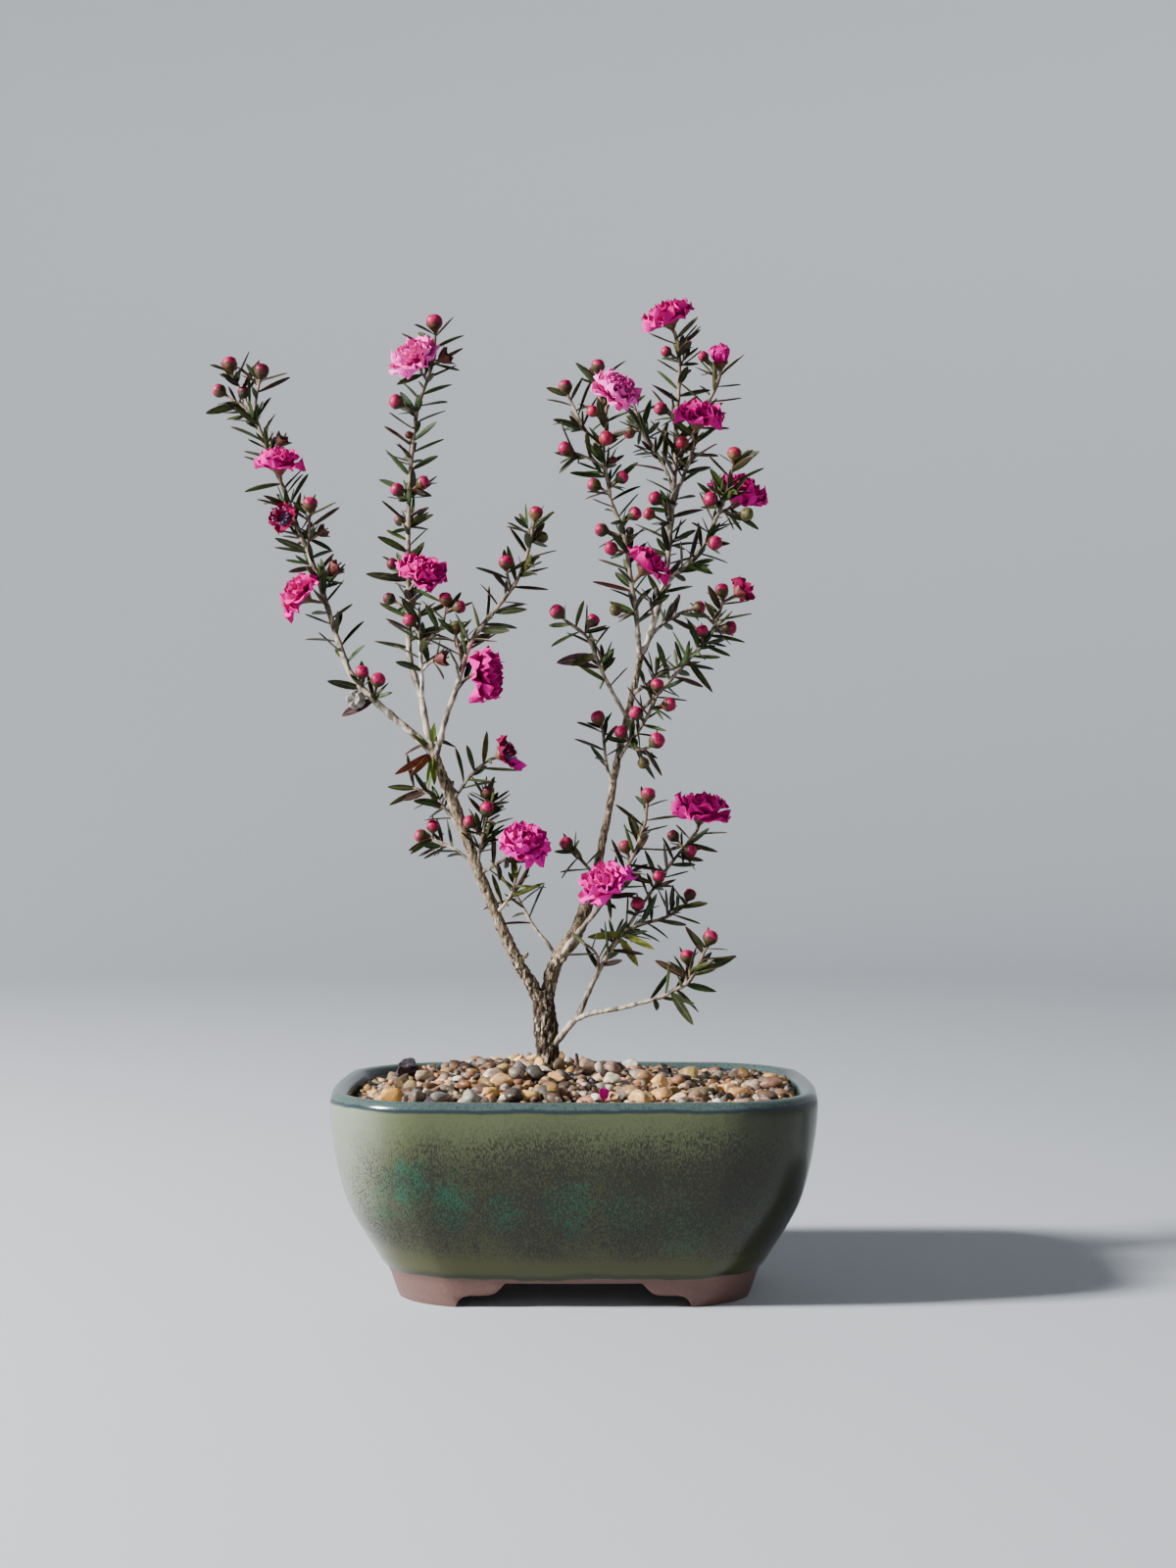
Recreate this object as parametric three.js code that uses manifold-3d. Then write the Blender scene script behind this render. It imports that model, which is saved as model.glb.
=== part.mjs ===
// A burgundy queen tea tree grown as a bonsai in a glazed stoneware pot.
// Millimetres, +Z up. The model is drawn about the middle of the pot and moved at the end,
// so that its origin lies under the middle of the whole object, on the surface it stands on.
import * as THREE from "three";
import { mergeVertices } from "three/addons/utils/BufferGeometryUtils.js";
import Module from "manifold-3d";

// Driving dimensions of the pot
const POT_HALF_WIDTH = 76;
const POT_HALF_DEPTH = 58;
const POT_CORNER = 25;
const POT_BOW = 1.6;
const INNER_HALF_WIDTH = 70;
const INNER_HALF_DEPTH = 52.6;
const INNER_CORNER = 20;
const BASE_Z = 7.5;
const FLOOR_Z = 13;
const DRAIN_X = 30;
const DRAIN_RADIUS = 6.5;
// Height and half-width of the outer wall, from the foot to the crest of the lip
const OUTER_PROFILE = [
  [0, 55], [6.4, 57.2], [8.5, 57.9], [10.2, 59.6], [15, 61.9], [22, 66.6],
  [30, 70.6], [40, 73.4], [52, 75.5], [61.6, 76], [63, 75], [63.5, 73.2],
];
// Height and half-width of the hollow, from the floor to above the lip
const INNER_PROFILE = [
  [FLOOR_Z, 54.5], [22, 60.6], [36, 66.2], [61.9, 70], [63.6, 72], [66, 73],
];
// Height up to which the wall of the hollow bounds what fills it
const HOLLOW_TOP = 61;
// Half of the cloud-cut gap between two feet: distance from the middle and height
const FOOT_GAP = [[35.4, -1], [35.4, 0], [34.2, 2.4], [32.4, 3.7], [24.6, 3.7], [22.2, 5.2], [20.5, BASE_Z]];
const SIDE_GAP_SHIFT = 12;
const FOOT_INNER = [42, 30];
// How far a round corner's middle is pulled in, as a share of the corner
const CORNER_PULL = 0.25;
const CORNER_STEPS = 4;
const DRAIN_SIDES = 14;

// Driving dimensions of what fills the pot
const FIT_GAP = 0.35;
const SCREEN_SIZE = 20;
const SCREEN_THICK = 0.9;
const SCREEN_HOLES = 3;
const SCREEN_HOLE_SHARE = 0.6;
const SCREEN_MARGIN_SHARE = 0.4;
const SOIL_TOP = 55;
const GRAVEL_EDGE = 60;
const GRAVEL_MOUND = 8.6;
const MOUND_MIDDLE_X = -9;
const MOUND_HALF_WIDTH = 64;
const MOUND_HALF_DEPTH = 57;
const STONE_CELL = 7.4;
const STONE_RELIEF = 3;
// Shares of the relief: the lowest raised stone, and the most that a hollow between stones rises
const RAISED_LEAST = 0.4;
const HOLLOW_MOST = 0.15;
// The most that a stone is moved off its grid place, as a share of the grid
const STONE_SHIFT = 0.4;

// Driving dimensions of the plant
const SEAT_GAP = 0.3;
const LEAF_LENGTH = 10;
const LEAF_WIDTH = 2.1;
const LEAF_THICK = 0.9;
const LEAF_WIDEST = 0.45;
const LEAF_LIFT = 0.04;
const LEAF_STEP = 1.9;
const LEAF_EVERY = 3;
const LEAF_LEAN = 52;
const LEAN_SPREAD = 22;
const LENGTH_LEAST = 0.8;
const LENGTH_SPREAD = 0.4;
// Degrees between one leaf and the next, one stem and the next, and one try and the next
const GOLDEN_TURN = 137.5;
const STEM_TURN = 40;
const TRY_TURN = 37;
const TRIES = 9;
const TWIG_LEAFY = 0.35;
const RUFFLE = 1;
const STALK_RADIUS = 0.5;
const LONG_STALK = 1.5;
const LEAST_STALK = 0.3;
// How far below a bud, a cup or a bloom its stalk leaves the stem
const STALK_DROP = 2.5;
const STEP_LENGTH = 11;
// From the middle of a bloom's face back to the foot of its calyx
const PEDICEL_REACH = 4.6;
// The highest that the wood may lie above that foot for the calyx to reach to it
const WOOD_ABOVE_FOOT = 1.2;

// Limits of the modelling: points merged, flat faces joined, and a volume that counts as contact
const MERGE_WITHIN = 1e-4;
const FLAT_WITHIN = 0.004;
const CONTACT_VOLUME = 1e-5;
const WOOD_SAMPLES = 60;

// Every point of the plant is noted as [x, depth, z]: x and z as they line up with the plane
// through the middle of the pot for an eye at EYE, and the depth behind that plane.
const EYE = { x: 4.3, y: -806, z: 157.8 };

// Root stock and trunk: the points carry a radius as their fourth number.
const TRUNK = [
  [[-8, 1, 34, 0.9], [-8.6, 0.5, 48, 2], [-8.5, 0, 60, 3.2], [-8.3, 0, 70, 2.9], [-9, 0, 80, 3.3],
    [-9.4, 0, 85, 3.7], [-10.2, 0, 89, 4], [-10.4, 0.2, 92, 2.8]],
  [[-9.5, 0, 86, 2.3], [-12.3, -0.5, 91.3, 2], [-14.1, -1, 95, 1.7], [-17.2, -1.5, 100, 1.7],
    [-22.2, -2, 110, 1.6], [-26.3, -2.5, 120, 1.35], [-30.4, -3, 130, 1.4], [-34, -3.5, 140, 1.3],
    [-38, -4, 150.6, 1.35], [-40.7, -4, 157.3, 1.4], [-43.4, -4, 164, 1.3], [-45.4, -4, 169, 1.2]],
  [[-9, 0, 85, 2.3], [-8.3, 0.5, 91, 2.1], [-7.8, 1, 95, 2], [-6.3, 1, 100, 2.3], [-4.6, 1, 103.5, 2.1],
    [0.3, 1.5, 110, 1.6], [4, 2, 120, 1.4], [7, 2.5, 130, 1.15], [9, 3, 140, 1.1], [11, 3.5, 150, 1.15],
    [12.6, 4, 160, 1.1], [14.6, 4, 170, 1], [17, 4.5, 180, 1], [19.3, 5, 190, 1], [21.2, 5, 199.5, 1]],
  [[-17.8, -1.5, 101.5, 0.9], [-14.6, -3, 104, 0.6]],
  [[-5.8, 1, 101, 1], [-2.6, -1.2, 102.6, 0.6]],
];

// Leafy stems. cut: what the stem grows from or grows close by. leafy: where the leaves begin
// along the stem, from 0 to 1. twigs: shorter side twigs. buds: [x, depth, z, size].
// cups: calyxes left by fallen flowers, in the same form.
const STEMS = [
  {
    name: "far_left_stem", cut: ["trunk"], radius: 0.95, tip: 0.5, leafy: 0.3,
    route: [[-44.3, -4, 166.7], [-49, -3.5, 171.8], [-56.3, -3, 178], [-64.8, -1, 185.5], [-70.6, 1, 192],
      [-74.6, 2, 202], [-79.1, 3, 216], [-83.5, 5, 229], [-88, 7, 239.5], [-92.2, 9, 251.3],
      [-97.6, 11, 263.3], [-102, 12.5, 275], [-107, 13.5, 279]],
    twigs: [[[-84.6, 5.5, 232], [-84.3, 3.5, 238], [-84.2, 2.5, 243.5]],
      [[-103.3, 13, 276.5], [-106, 14, 283], [-109, 14, 288]],
      [[-102, 12.5, 275], [-101, 11, 281], [-100, 10, 286]]],
    buds: [[-109.5, 14, 291, 4.8], [-99.5, 9.5, 288.5, 4.4], [-112.5, 15, 282.5, 4.6], [-84, 2, 246.5, 4.8],
      [-67.5, -4, 193, 4.6], [-62.5, -5, 190.5, 5]],
    cups: [[-93, 9, 267, 4.6], [-76, 3, 226.5, 5], [-80, 6, 238, 4]],
  },
  {
    name: "tall_left_stem", cut: ["trunk", "far_left_stem"], radius: 0.95, tip: 0.5, leafy: 0.25,
    route: [[-44.8, -4, 167.8], [-46.4, -4, 173], [-47.4, -4, 178], [-48.8, -3.5, 186], [-52.2, -3, 197],
      [-52.5, -2, 211], [-52.8, -1, 228], [-52.7, 1, 246], [-51.8, 2, 260.5], [-49.8, 3, 277],
      [-45.5, 3, 290], [-44.2, 3, 300]],
    twigs: [[[-46.8, 3, 286], [-47.8, 1, 287.5], [-48.6, -1.5, 288.3]],
      [[-52.7, -1.4, 219], [-51.6, -3, 220.6], [-50.6, -4.6, 221.6]]],
    buds: [[-44.5, 3, 303.5, 4.8], [-56.3, 0, 279, 4.8], [-48.5, 0, 253.3, 4.6], [-56, -1, 251, 4.6],
      [-57.5, -3, 227.5, 4], [-58.5, 0, 216.5, 4.2]],
    cups: [[-41, 2, 293.5, 5]],
  },
  {
    name: "short_left_stem", cut: ["trunk", "tall_left_stem"], radius: 0.75, tip: 0.5, leafy: 0.3,
    route: [[-48.6, -3.6, 185], [-48.4, -6.4, 190], [-48.7, -8, 196], [-49.2, -9, 205], [-49.4, -9.5, 214]],
    twigs: [[[-48.8, -8.4, 199], [-45, -9.5, 205], [-42, -10.5, 208.4], [-41, -11, 213]],
      [[-48.6, -7.6, 194], [-46, -9.5, 196.4], [-44.6, -10.5, 197]]],
    buds: [[-41, -11, 216.3, 4.4], [-37, -11, 214, 4.4], [-52, -11, 209.5, 4.6]],
    cups: [[-42, -11, 197.6, 4.6]],
  },
  {
    name: "inner_left_stem", cut: ["trunk", "far_left_stem", "tall_left_stem"], radius: 0.85, tip: 0.5,
    leafy: 0.35,
    route: [[-44.2, -4, 166.5], [-42.8, -6.5, 171], [-40.7, -8, 179.3], [-37.6, -9.5, 187.8],
      [-34.9, -11, 197.1], [-31.8, -13, 204.8], [-24.5, -15.5, 213.9], [-17.8, -18, 223.3],
      [-14.1, -20.5, 234], [-13.1, -22, 240]],
    twigs: [[[-37.8, -9.5, 187.3], [-34.9, -11.4, 190.8], [-33.2, -12.6, 191.9]],
      [[-20.4, -17, 219.2], [-21, -18.5, 223], [-21.6, -19.5, 225]]],
    buds: [[-12.4, -22.4, 243.5, 4.6], [-10.6, -18.5, 236, 4], [-21.8, -20, 228, 4.8]],
  },
  {
    name: "left_spent_twig", cut: ["trunk"], radius: 0.6, tip: 0.45, leafy: 0.2,
    route: [[-39, -4, 152.5], [-36.9, -6, 155], [-34.5, -8, 158.5], [-31, -10, 162.5], [-26.8, -12, 165.6]],
  },
  {
    name: "left_bud_twig", cut: ["trunk"], radius: 0.6, tip: 0.45, leafy: 0.25,
    route: [[-30.6, -3, 130.5], [-30.2, -6, 136], [-29.3, -8, 141], [-27.9, -9.5, 146.5]],
    twigs: [[[-29.4, -7.8, 140.6], [-28.4, -6.4, 147], [-27.7, -6.4, 152]]],
    buds: [[-27.8, -10.5, 149.5, 4.8], [-33, -8, 145.5, 4.4], [-27.5, -6.4, 155, 4]],
  },
  {
    name: "left_outer_twig", cut: ["trunk"], radius: 0.6, tip: 0.45, leafy: 0.3,
    route: [[-31.6, -3, 133], [-34.5, -1, 134.5], [-38, 1, 137], [-41.5, 2.5, 138.8], [-45, 4, 140.4]],
    buds: [[-48.3, 5, 141.2, 4.6], [-45, 2, 144, 4.4]],
  },
  {
    name: "left_bloom_twig", cut: ["trunk"], radius: 0.6, tip: 0.5, leafy: 0.3,
    route: [[-30, -3, 129.5], [-27, -5, 131], [-24, -7, 132.8], [-20.4, -9, 134.8]],
  },
  {
    name: "left_side_twig", cut: ["trunk"], radius: 0.6, tip: 0.45, leafy: 0.25,
    route: [[-35.4, -3.6, 143.5], [-38.5, -1, 146.5], [-41.5, 1, 150.5], [-45, 3, 154], [-52, 5, 157]],
  },
  {
    name: "bare_twig", cut: ["trunk"], radius: 0.6, tip: 0.45, leafy: 0.55,
    route: [[-5.5, 1, 102.5], [-8, 4, 106.5], [-12.5, 7, 112], [-16, 9, 118], [-19.5, 11, 124.5]],
  },
  {
    name: "green_shoot", cut: ["trunk"], radius: 0.55, tip: 0.45, leafy: 0.25,
    route: [[-25, -2.4, 117], [-22.6, -4.6, 119], [-20, -6, 123], [-18.5, -7, 128]],
  },
  {
    name: "right_bud_twig", cut: ["trunk"], radius: 0.6, tip: 0.45, leafy: 0.3,
    route: [[6.6, 2.4, 128.5], [4.5, 0, 131], [2.5, -1.5, 133.3], [0.3, -3, 135.8]],
    buds: [[-2.3, -4, 138.6, 4.6]],
  },
  {
    name: "twin_stem", cut: ["trunk"], radius: 0.9, tip: 0.5, leafy: 0.4,
    route: [[-5, 0.5, 101.5], [-1.6, -2.4, 107], [4, -5, 114], [8.5, -7, 119.5], [13, -9.5, 127],
      [17, -11, 132], [20, -12.5, 138], [22.5, -13.5, 146], [23, -14, 150]],
    twigs: [[[9.6, -7.6, 121], [10.4, -9.6, 121.8], [11, -11.4, 122.4]]],
    buds: [[16.2, -10, 137.5, 4.4], [23.4, -14.5, 154, 4.8]],
  },
  {
    name: "lower_right_stem", cut: ["trunk"], radius: 1.15, tip: 0.5, leafy: 0.45,
    route: [[-8.3, 0, 72.5], [-5.2, -2.8, 76.5], [-2, -4.8, 80.5], [1.2, -5.5, 84.5], [5, -5.5, 93],
      [7.5, -5, 98], [11, -3.5, 104], [15.5, -1.5, 110.3], [22, 1, 113.5], [28, 3.4, 115], [35, 7, 119]],
    twigs: [[[14.6, -2, 109], [18, 0, 114], [20.5, 2, 118], [24, 5, 123], [28, 8, 129], [31, 10, 133],
      [35, 13, 138], [38.8, 15.6, 142.8]],
    [[7.3, -5, 97.5], [7.6, -6.4, 102], [6, -7.6, 105], [3, -8.6, 107]]],
    buds: [[20, -3, 119.4, 4.8], [26.6, 2, 128, 4.2], [36.5, 8, 122.3, 4.2], [36.6, 10, 136.5, 4.2],
      [31.6, 14, 141, 4.2]],
  },
  {
    name: "low_stem", cut: ["lower_right_stem"], radius: 0.8, tip: 0.5, leafy: 0.5,
    route: [[0.4, -5.4, 83], [5, -8, 84.8], [10, -10.5, 85.8], [15, -12.5, 86.6], [20, -15, 88],
      [28, -18.5, 90.3], [32, -20, 92.5], [36, -21.5, 94.5], [38.5, -22.5, 98.5], [41.5, -24, 105]],
    twigs: [[[35, -21.2, 94], [35.6, -20.6, 97], [35.8, -20.4, 99.6]]],
    buds: [[43, -24.4, 108.6, 5], [35.8, -20.4, 102.6, 4.6]],
  },
  {
    name: "right_shoot", cut: ["trunk"], radius: 0.6, tip: 0.45, leafy: 0.3,
    route: [[12.3, 4, 158.5], [10.5, 1.5, 162.5], [9.8, 0, 167], [9, -1, 175]],
    buds: [[7.6, -1.5, 178.5, 4.8]],
  },
  {
    name: "left_going_stem", cut: ["trunk"], radius: 0.7, tip: 0.5, leafy: 0.3,
    route: [[17, 4.5, 178.5], [14, 1.5, 183.5], [11.5, -1.5, 188], [9, -5, 193], [6.5, -9, 199],
      [4, -12.5, 204.5], [-2.6, -15.5, 209.6]],
    buds: [[-5.2, -16.5, 212.2, 5], [5.6, -13, 209.4, 4.4]],
  },
  {
    name: "bud_cluster_stem", cut: ["trunk"], radius: 0.65, tip: 0.5, leafy: 0.2,
    route: [[14.2, 4, 166], [16.5, -1, 169.5], [19.4, -5, 173.4], [23, -8.5, 179], [26, -11, 185.5]],
    twigs: [[[16.8, -1.5, 169.9], [20.4, -5, 168.6], [23.4, -7.5, 169.4]]],
    buds: [[15, -5.5, 174, 4.4], [19.8, -9.5, 180, 4.6], [25.8, -9, 171.3, 5.4], [29.6, -11.4, 183, 4.8],
      [26.3, -12, 188.8, 4.4], [21.8, -4, 164.8, 4]],
  },
  {
    name: "right_tuft_stem", cut: ["trunk"], radius: 0.6, tip: 0.45, leafy: 0.3,
    route: [[18.7, 4.8, 186.5], [21.5, 2, 188.4], [25, -1, 190.8], [30, -4, 195.2]],
  },
  {
    name: "right_stem", cut: ["trunk"], radius: 0.75, tip: 0.5, leafy: 0.25,
    route: [[15.6, 4.2, 174], [20, 8, 180], [27, 12, 187], [35, 16, 196], [41, 19, 202.5], [45, 21, 209],
      [47, 22, 215.6]],
    buds: [[40.6, 15.6, 206, 4.4], [49, 20, 207.4, 4.8], [46.8, 22, 219, 4.8]],
  },
  {
    name: "inner_top_stem", cut: ["trunk"], radius: 0.85, tip: 0.5, leafy: 0.12,
    route: [[21, 5, 198.5], [20.2, 2.4, 204], [19.6, 0, 212], [18.3, -3, 220], [17, -5, 230], [14.9, -7, 240],
      [11.6, -8, 247.5], [10.9, -8.5, 252], [9.3, -10, 262], [9.5, -11, 270], [10.2, -12, 278]],
    twigs: [[[9.2, -10.1, 263], [7, -8.6, 266], [3, -6.6, 271], [0, -5, 277], [-1.7, -4, 280.6]],
      [[9.9, -9.4, 257.6], [6, -11.4, 260.6], [3, -13, 261.9], [0, -14, 262.7]],
      [[9.9, -11.7, 275], [8, -10.5, 281], [7.6, -10, 287]],
      [[18.2, -3.2, 220.6], [19.4, -4.2, 222.8], [20.2, -4.6, 224]]],
    buds: [[-2.8, -3.6, 283.6, 4.8], [-2.6, -15, 264.2, 4.6], [13.4, -3, 213, 4.2], [12, -8.4, 232.5, 4.6],
      [9, -6, 238.4, 4.6], [18.8, -9.4, 243.4, 4.6], [6.6, -7, 252.6, 4.6], [14.8, -10, 255, 4.4],
      [10, -15, 267.5, 4.8], [7.5, -10, 290.2, 4.6]],
  },
  {
    name: "tall_right_stem", cut: ["trunk", "inner_top_stem"], radius: 0.95, tip: 0.55, leafy: 0.15,
    route: [[21.2, 5, 199], [23.6, 5.6, 204], [25.4, 5.5, 210], [28, 6, 219.5], [29.7, 7, 230], [31, 8, 245],
      [32, 9.5, 258], [32.2, 11, 270], [33.2, 12.5, 284], [33, 14, 296], [31.8, 14.3, 301.4]],
    twigs: [[[25.2, 5.5, 209], [24.6, 2.6, 213], [24, 1, 217]]],
    buds: [[26, 5, 248.2, 4.8], [27.8, 9.6, 276.8, 4.6], [24, 5, 243.4, 4.2]],
  },
  {
    name: "top_left_fork", cut: ["tall_right_stem"], radius: 0.6, tip: 0.45, leafy: 0.2,
    route: [[31.4, 8.4, 250.5], [29.5, 10.4, 256.5], [25.5, 13, 264], [21, 16, 271.5], [19, 18, 278]],
    buds: [[17.8, 17, 269.4, 4], [18.6, 18.4, 281, 4.2]],
  },
  {
    name: "top_right_fork", cut: ["tall_right_stem"], radius: 0.7, tip: 0.5, leafy: 0.15,
    route: [[31.3, 8.3, 248], [34, 7.6, 254], [37.2, 7.6, 262.5], [39.6, 8.6, 272], [42.5, 10, 279],
      [45.5, 11, 285], [46.4, 11.4, 289]],
    twigs: [[[36.6, 7.6, 260], [37.6, 4.6, 265], [37.5, 2, 269.4]]],
    buds: [[34.6, 3, 266, 4.4]],
  },
  {
    name: "right_short_stem", cut: ["tall_right_stem"], radius: 0.6, tip: 0.45, leafy: 0.3,
    route: [[24.2, 5.6, 205], [28, 8, 208.5], [31.5, 10, 211], [36, 12.5, 213]],
    buds: [[39.2, 13.6, 213.8, 4.4]],
  },
  {
    name: "outer_right_stem", cut: ["tall_right_stem"], radius: 0.75, tip: 0.5, leafy: 0.15,
    route: [[27.8, 6, 218.5], [30.5, 3, 223], [36, -1.5, 228], [41.5, -5, 234], [44.5, -7.5, 241],
      [48, -10.5, 249], [50.3, -14, 259]],
    twigs: [[[46, -8.8, 244.3], [48.4, -6, 245], [50, -3.4, 245.4]]],
    buds: [[44.4, -10.5, 234.4, 4.8], [43.6, -12.5, 248, 4.8], [54.4, -12, 243.6, 4.4],
      [50.7, -14.5, 262.4, 4.6]],
  },
];

// Blooms: the middle of the face, which way it faces, how wide it is and its state
const BLOOMS = [
  {
    name: "bloom_01", on: "tall_left_stem",
    at: [-51, -5.4, 293.5], facing: [-0.42, -0.62, 0.66], across: 16.5,
  },
  {
    name: "bloom_02", on: "far_left_stem",
    at: [-94, 3.4, 260.3], facing: [-0.05, -0.2, 1], across: 15.5,
  },
  {
    name: "bloom_03", on: "far_left_stem",
    at: [-93, 1.4, 242.6], facing: [-0.3, -1, 0.2], across: 10, spent: true,
  },
  {
    name: "bloom_04", on: "far_left_stem",
    at: [-87.6, 0.6, 218.4], facing: [-0.75, -0.3, 0.5], across: 16,
  },
  {
    name: "bloom_05", on: "tall_left_stem",
    at: [-48.6, -8.2, 225.2], facing: [0.35, -0.6, 0.62], across: 17,
  },
  {
    name: "bloom_06", on: "inner_left_stem",
    at: [-28.4, -14, 192.4], facing: [1, -0.3, 0.05], across: 18,
  },
  {
    name: "bloom_07", on: "left_spent_twig",
    at: [-21, -13, 168.2], facing: [0.85, -0.35, 0.4], across: 11, spent: true,
  },
  {
    name: "bloom_08", on: "left_bloom_twig",
    at: [-16.2, -12.6, 139], facing: [0.3, -0.8, 0.5], across: 17,
  },
  {
    name: "bloom_09", on: "tall_right_stem",
    at: [29.6, 13.2, 306.4], facing: [-0.38, -0.25, 0.92], across: 17.5,
  },
  {
    name: "bloom_10", on: "top_right_fork",
    at: [46.2, 11.2, 294], facing: [-0.15, -0.3, 1], across: 8, half: true,
  },
  {
    name: "bloom_11", on: "inner_top_stem",
    at: [13.4, -15, 283], facing: [0.45, -0.6, 0.65], across: 16,
  },
  {
    name: "bloom_12", on: "top_right_fork",
    at: [39.6, -1.6, 274.6], facing: [0.2, -0.3, 0.95], across: 17,
  },
  {
    name: "bloom_13", on: "outer_right_stem",
    at: [52.2, -2.4, 250], facing: [0.3, 0.2, 0.95], across: 19,
  },
  {
    name: "bloom_14", on: "inner_top_stem",
    at: [23.4, -7, 228], facing: [0.6, -0.4, 0.68], across: 15.5,
  },
  {
    name: "bloom_15", on: "right_stem",
    at: [54, 31, 220], facing: [0.7, 0.4, 0.6], across: 10.5, spent: true,
  },
  {
    name: "bloom_16", on: "lower_right_stem",
    at: [40, 16.2, 149.2], facing: [0.1, -0.15, 1], across: 20,
  },
  {
    name: "bloom_17", on: "twin_stem",
    at: [9.4, -15.6, 126.4], facing: [-0.3, -0.7, 0.62], across: 17.5,
  },
];

const wasm = await Module();
wasm.setup();

// A repeatable draw between 0 and 1 for the count and the salt.
function draw(count, salt) {
  const wave = Math.sin(count * 12.9898 + salt * 78.233) * 43758.5453;
  return wave - Math.floor(wave);
}

// The point of the plant that a noted point stands for.
function seen([x, depth, z]) {
  const reach = 1 - depth / EYE.y;
  return new THREE.Vector3(EYE.x + (x - EYE.x) * reach, depth, EYE.z + (z - EYE.z) * reach);
}

// A closed geometry as a solid that can be joined and cut.
function solidOf(geometry) {
  const bare = new THREE.BufferGeometry();
  bare.setAttribute("position", geometry.getAttribute("position").clone());
  if (geometry.index) bare.setIndex(geometry.index.clone());
  const merged = mergeVertices(bare, MERGE_WITHIN);
  const triVerts = new Uint32Array(merged.index.array);
  return new wasm.Manifold(
    new wasm.Mesh({ numProp: 3, vertProperties: merged.attributes.position.array, triVerts }),
  );
}

// Joins solids into one, and drops a scrap that is not part of its main body.
function joined(solids) {
  const all = solids.reduce((sum, one) => sum.add(one)).simplify(FLAT_WITHIN);
  return all.decompose().reduce((most, one) => (one.volume() > most.volume() ? one : most));
}

// A named mesh of a solid.
function meshOf(name, solid, look) {
  const { vertProperties, triVerts } = solid.getMesh();
  const geometry = new THREE.BufferGeometry();
  geometry.setAttribute("position", new THREE.BufferAttribute(new Float32Array(vertProperties), 3));
  geometry.setIndex(new THREE.BufferAttribute(new Uint32Array(triVerts), 1));
  geometry.computeVertexNormals();
  const mesh = new THREE.Mesh(geometry, new THREE.MeshStandardMaterial({ ...look, flatShading: true }));
  mesh.name = name;
  return mesh;
}

// The outline of the pot or of its hollow, seen from above: bowed sides and round corners.
function potOutline(halfWidth, halfDepth, corner, bow) {
  const shape = new THREE.Shape();
  const w = halfWidth - bow;
  const d = halfDepth - bow;
  const pull = corner * CORNER_PULL;
  shape.moveTo(0, -halfDepth);
  shape.lineTo(w - corner, -d);
  shape.quadraticCurveTo(w - pull, -d + pull, w, -d + corner);
  shape.lineTo(halfWidth, 0);
  shape.lineTo(w, d - corner);
  shape.quadraticCurveTo(w - pull, d - pull, w - corner, d);
  shape.lineTo(0, halfDepth);
  shape.lineTo(-w + corner, d);
  shape.quadraticCurveTo(-w + pull, d - pull, -w, d - corner);
  shape.lineTo(-halfWidth, 0);
  shape.lineTo(-w, -d + corner);
  shape.quadraticCurveTo(-w + pull, -d + pull, -w + corner, -d);
  return shape;
}

// Stacks one outline through the heights and half-widths of a profile.
function lofted(outline, halfWidth, profile, inset) {
  const rings = profile.length - 1;
  const geometry = new THREE.ExtrudeGeometry(outline, {
    depth: rings, steps: rings, bevelEnabled: false, curveSegments: CORNER_STEPS,
  });
  const position = geometry.attributes.position;
  for (let i = 0; i < position.count; i += 1) {
    const [height, half] = profile[Math.round(position.getZ(i))];
    const share = (half - inset) / halfWidth;
    position.setXYZ(i, position.getX(i) * share, position.getY(i) * share, height);
  }
  return solidOf(geometry);
}

// What fills the hollow of the pot between two heights, with a gap to the wall.
function filling(low, high) {
  const halfAt = (z) => {
    const next = INNER_PROFILE.findIndex(([height]) => height > z);
    const [z0, w0] = INNER_PROFILE[next - 1];
    const [z1, w1] = INNER_PROFILE[next];
    return w0 + ((w1 - w0) * (z - z0)) / (z1 - z0);
  };
  const wallTop = Math.min(high, HOLLOW_TOP);
  const between = INNER_PROFILE.filter(([z]) => z > low && z < wallTop);
  const profile = [[low, halfAt(low)], ...between, [high, halfAt(wallTop)]];
  const outline = potOutline(INNER_HALF_WIDTH, INNER_HALF_DEPTH, INNER_CORNER, POT_BOW);
  return lofted(outline, INNER_HALF_WIDTH, profile, FIT_GAP);
}

// A plain block about a middle point.
function block(size, middle) {
  return solidOf(new THREE.BoxGeometry(...size).translate(...middle));
}

// The stretch that is cut away between two feet, along Y or turned to run along X.
function footGap(shift, turned) {
  const left = FOOT_GAP.map(([x, z]) => new THREE.Vector2(shift - x, z));
  const right = FOOT_GAP.map(([x, z]) => new THREE.Vector2(x - shift, z)).reverse();
  const reach = 2 * POT_HALF_WIDTH;
  const geometry = new THREE.ExtrudeGeometry(new THREE.Shape([...left, ...right]), {
    depth: reach, bevelEnabled: false,
  });
  geometry.rotateX(Math.PI / 2).translate(0, reach / 2, 0);
  if (turned) geometry.rotateZ(Math.PI / 2);
  return solidOf(geometry);
}

function drainHole(side) {
  const hole = new THREE.CylinderGeometry(DRAIN_RADIUS, DRAIN_RADIUS, FLOOR_Z, DRAIN_SIDES);
  return solidOf(hole.rotateX(Math.PI / 2).translate(side * DRAIN_X, 0, (BASE_Z + FLOOR_Z) / 2));
}

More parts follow.
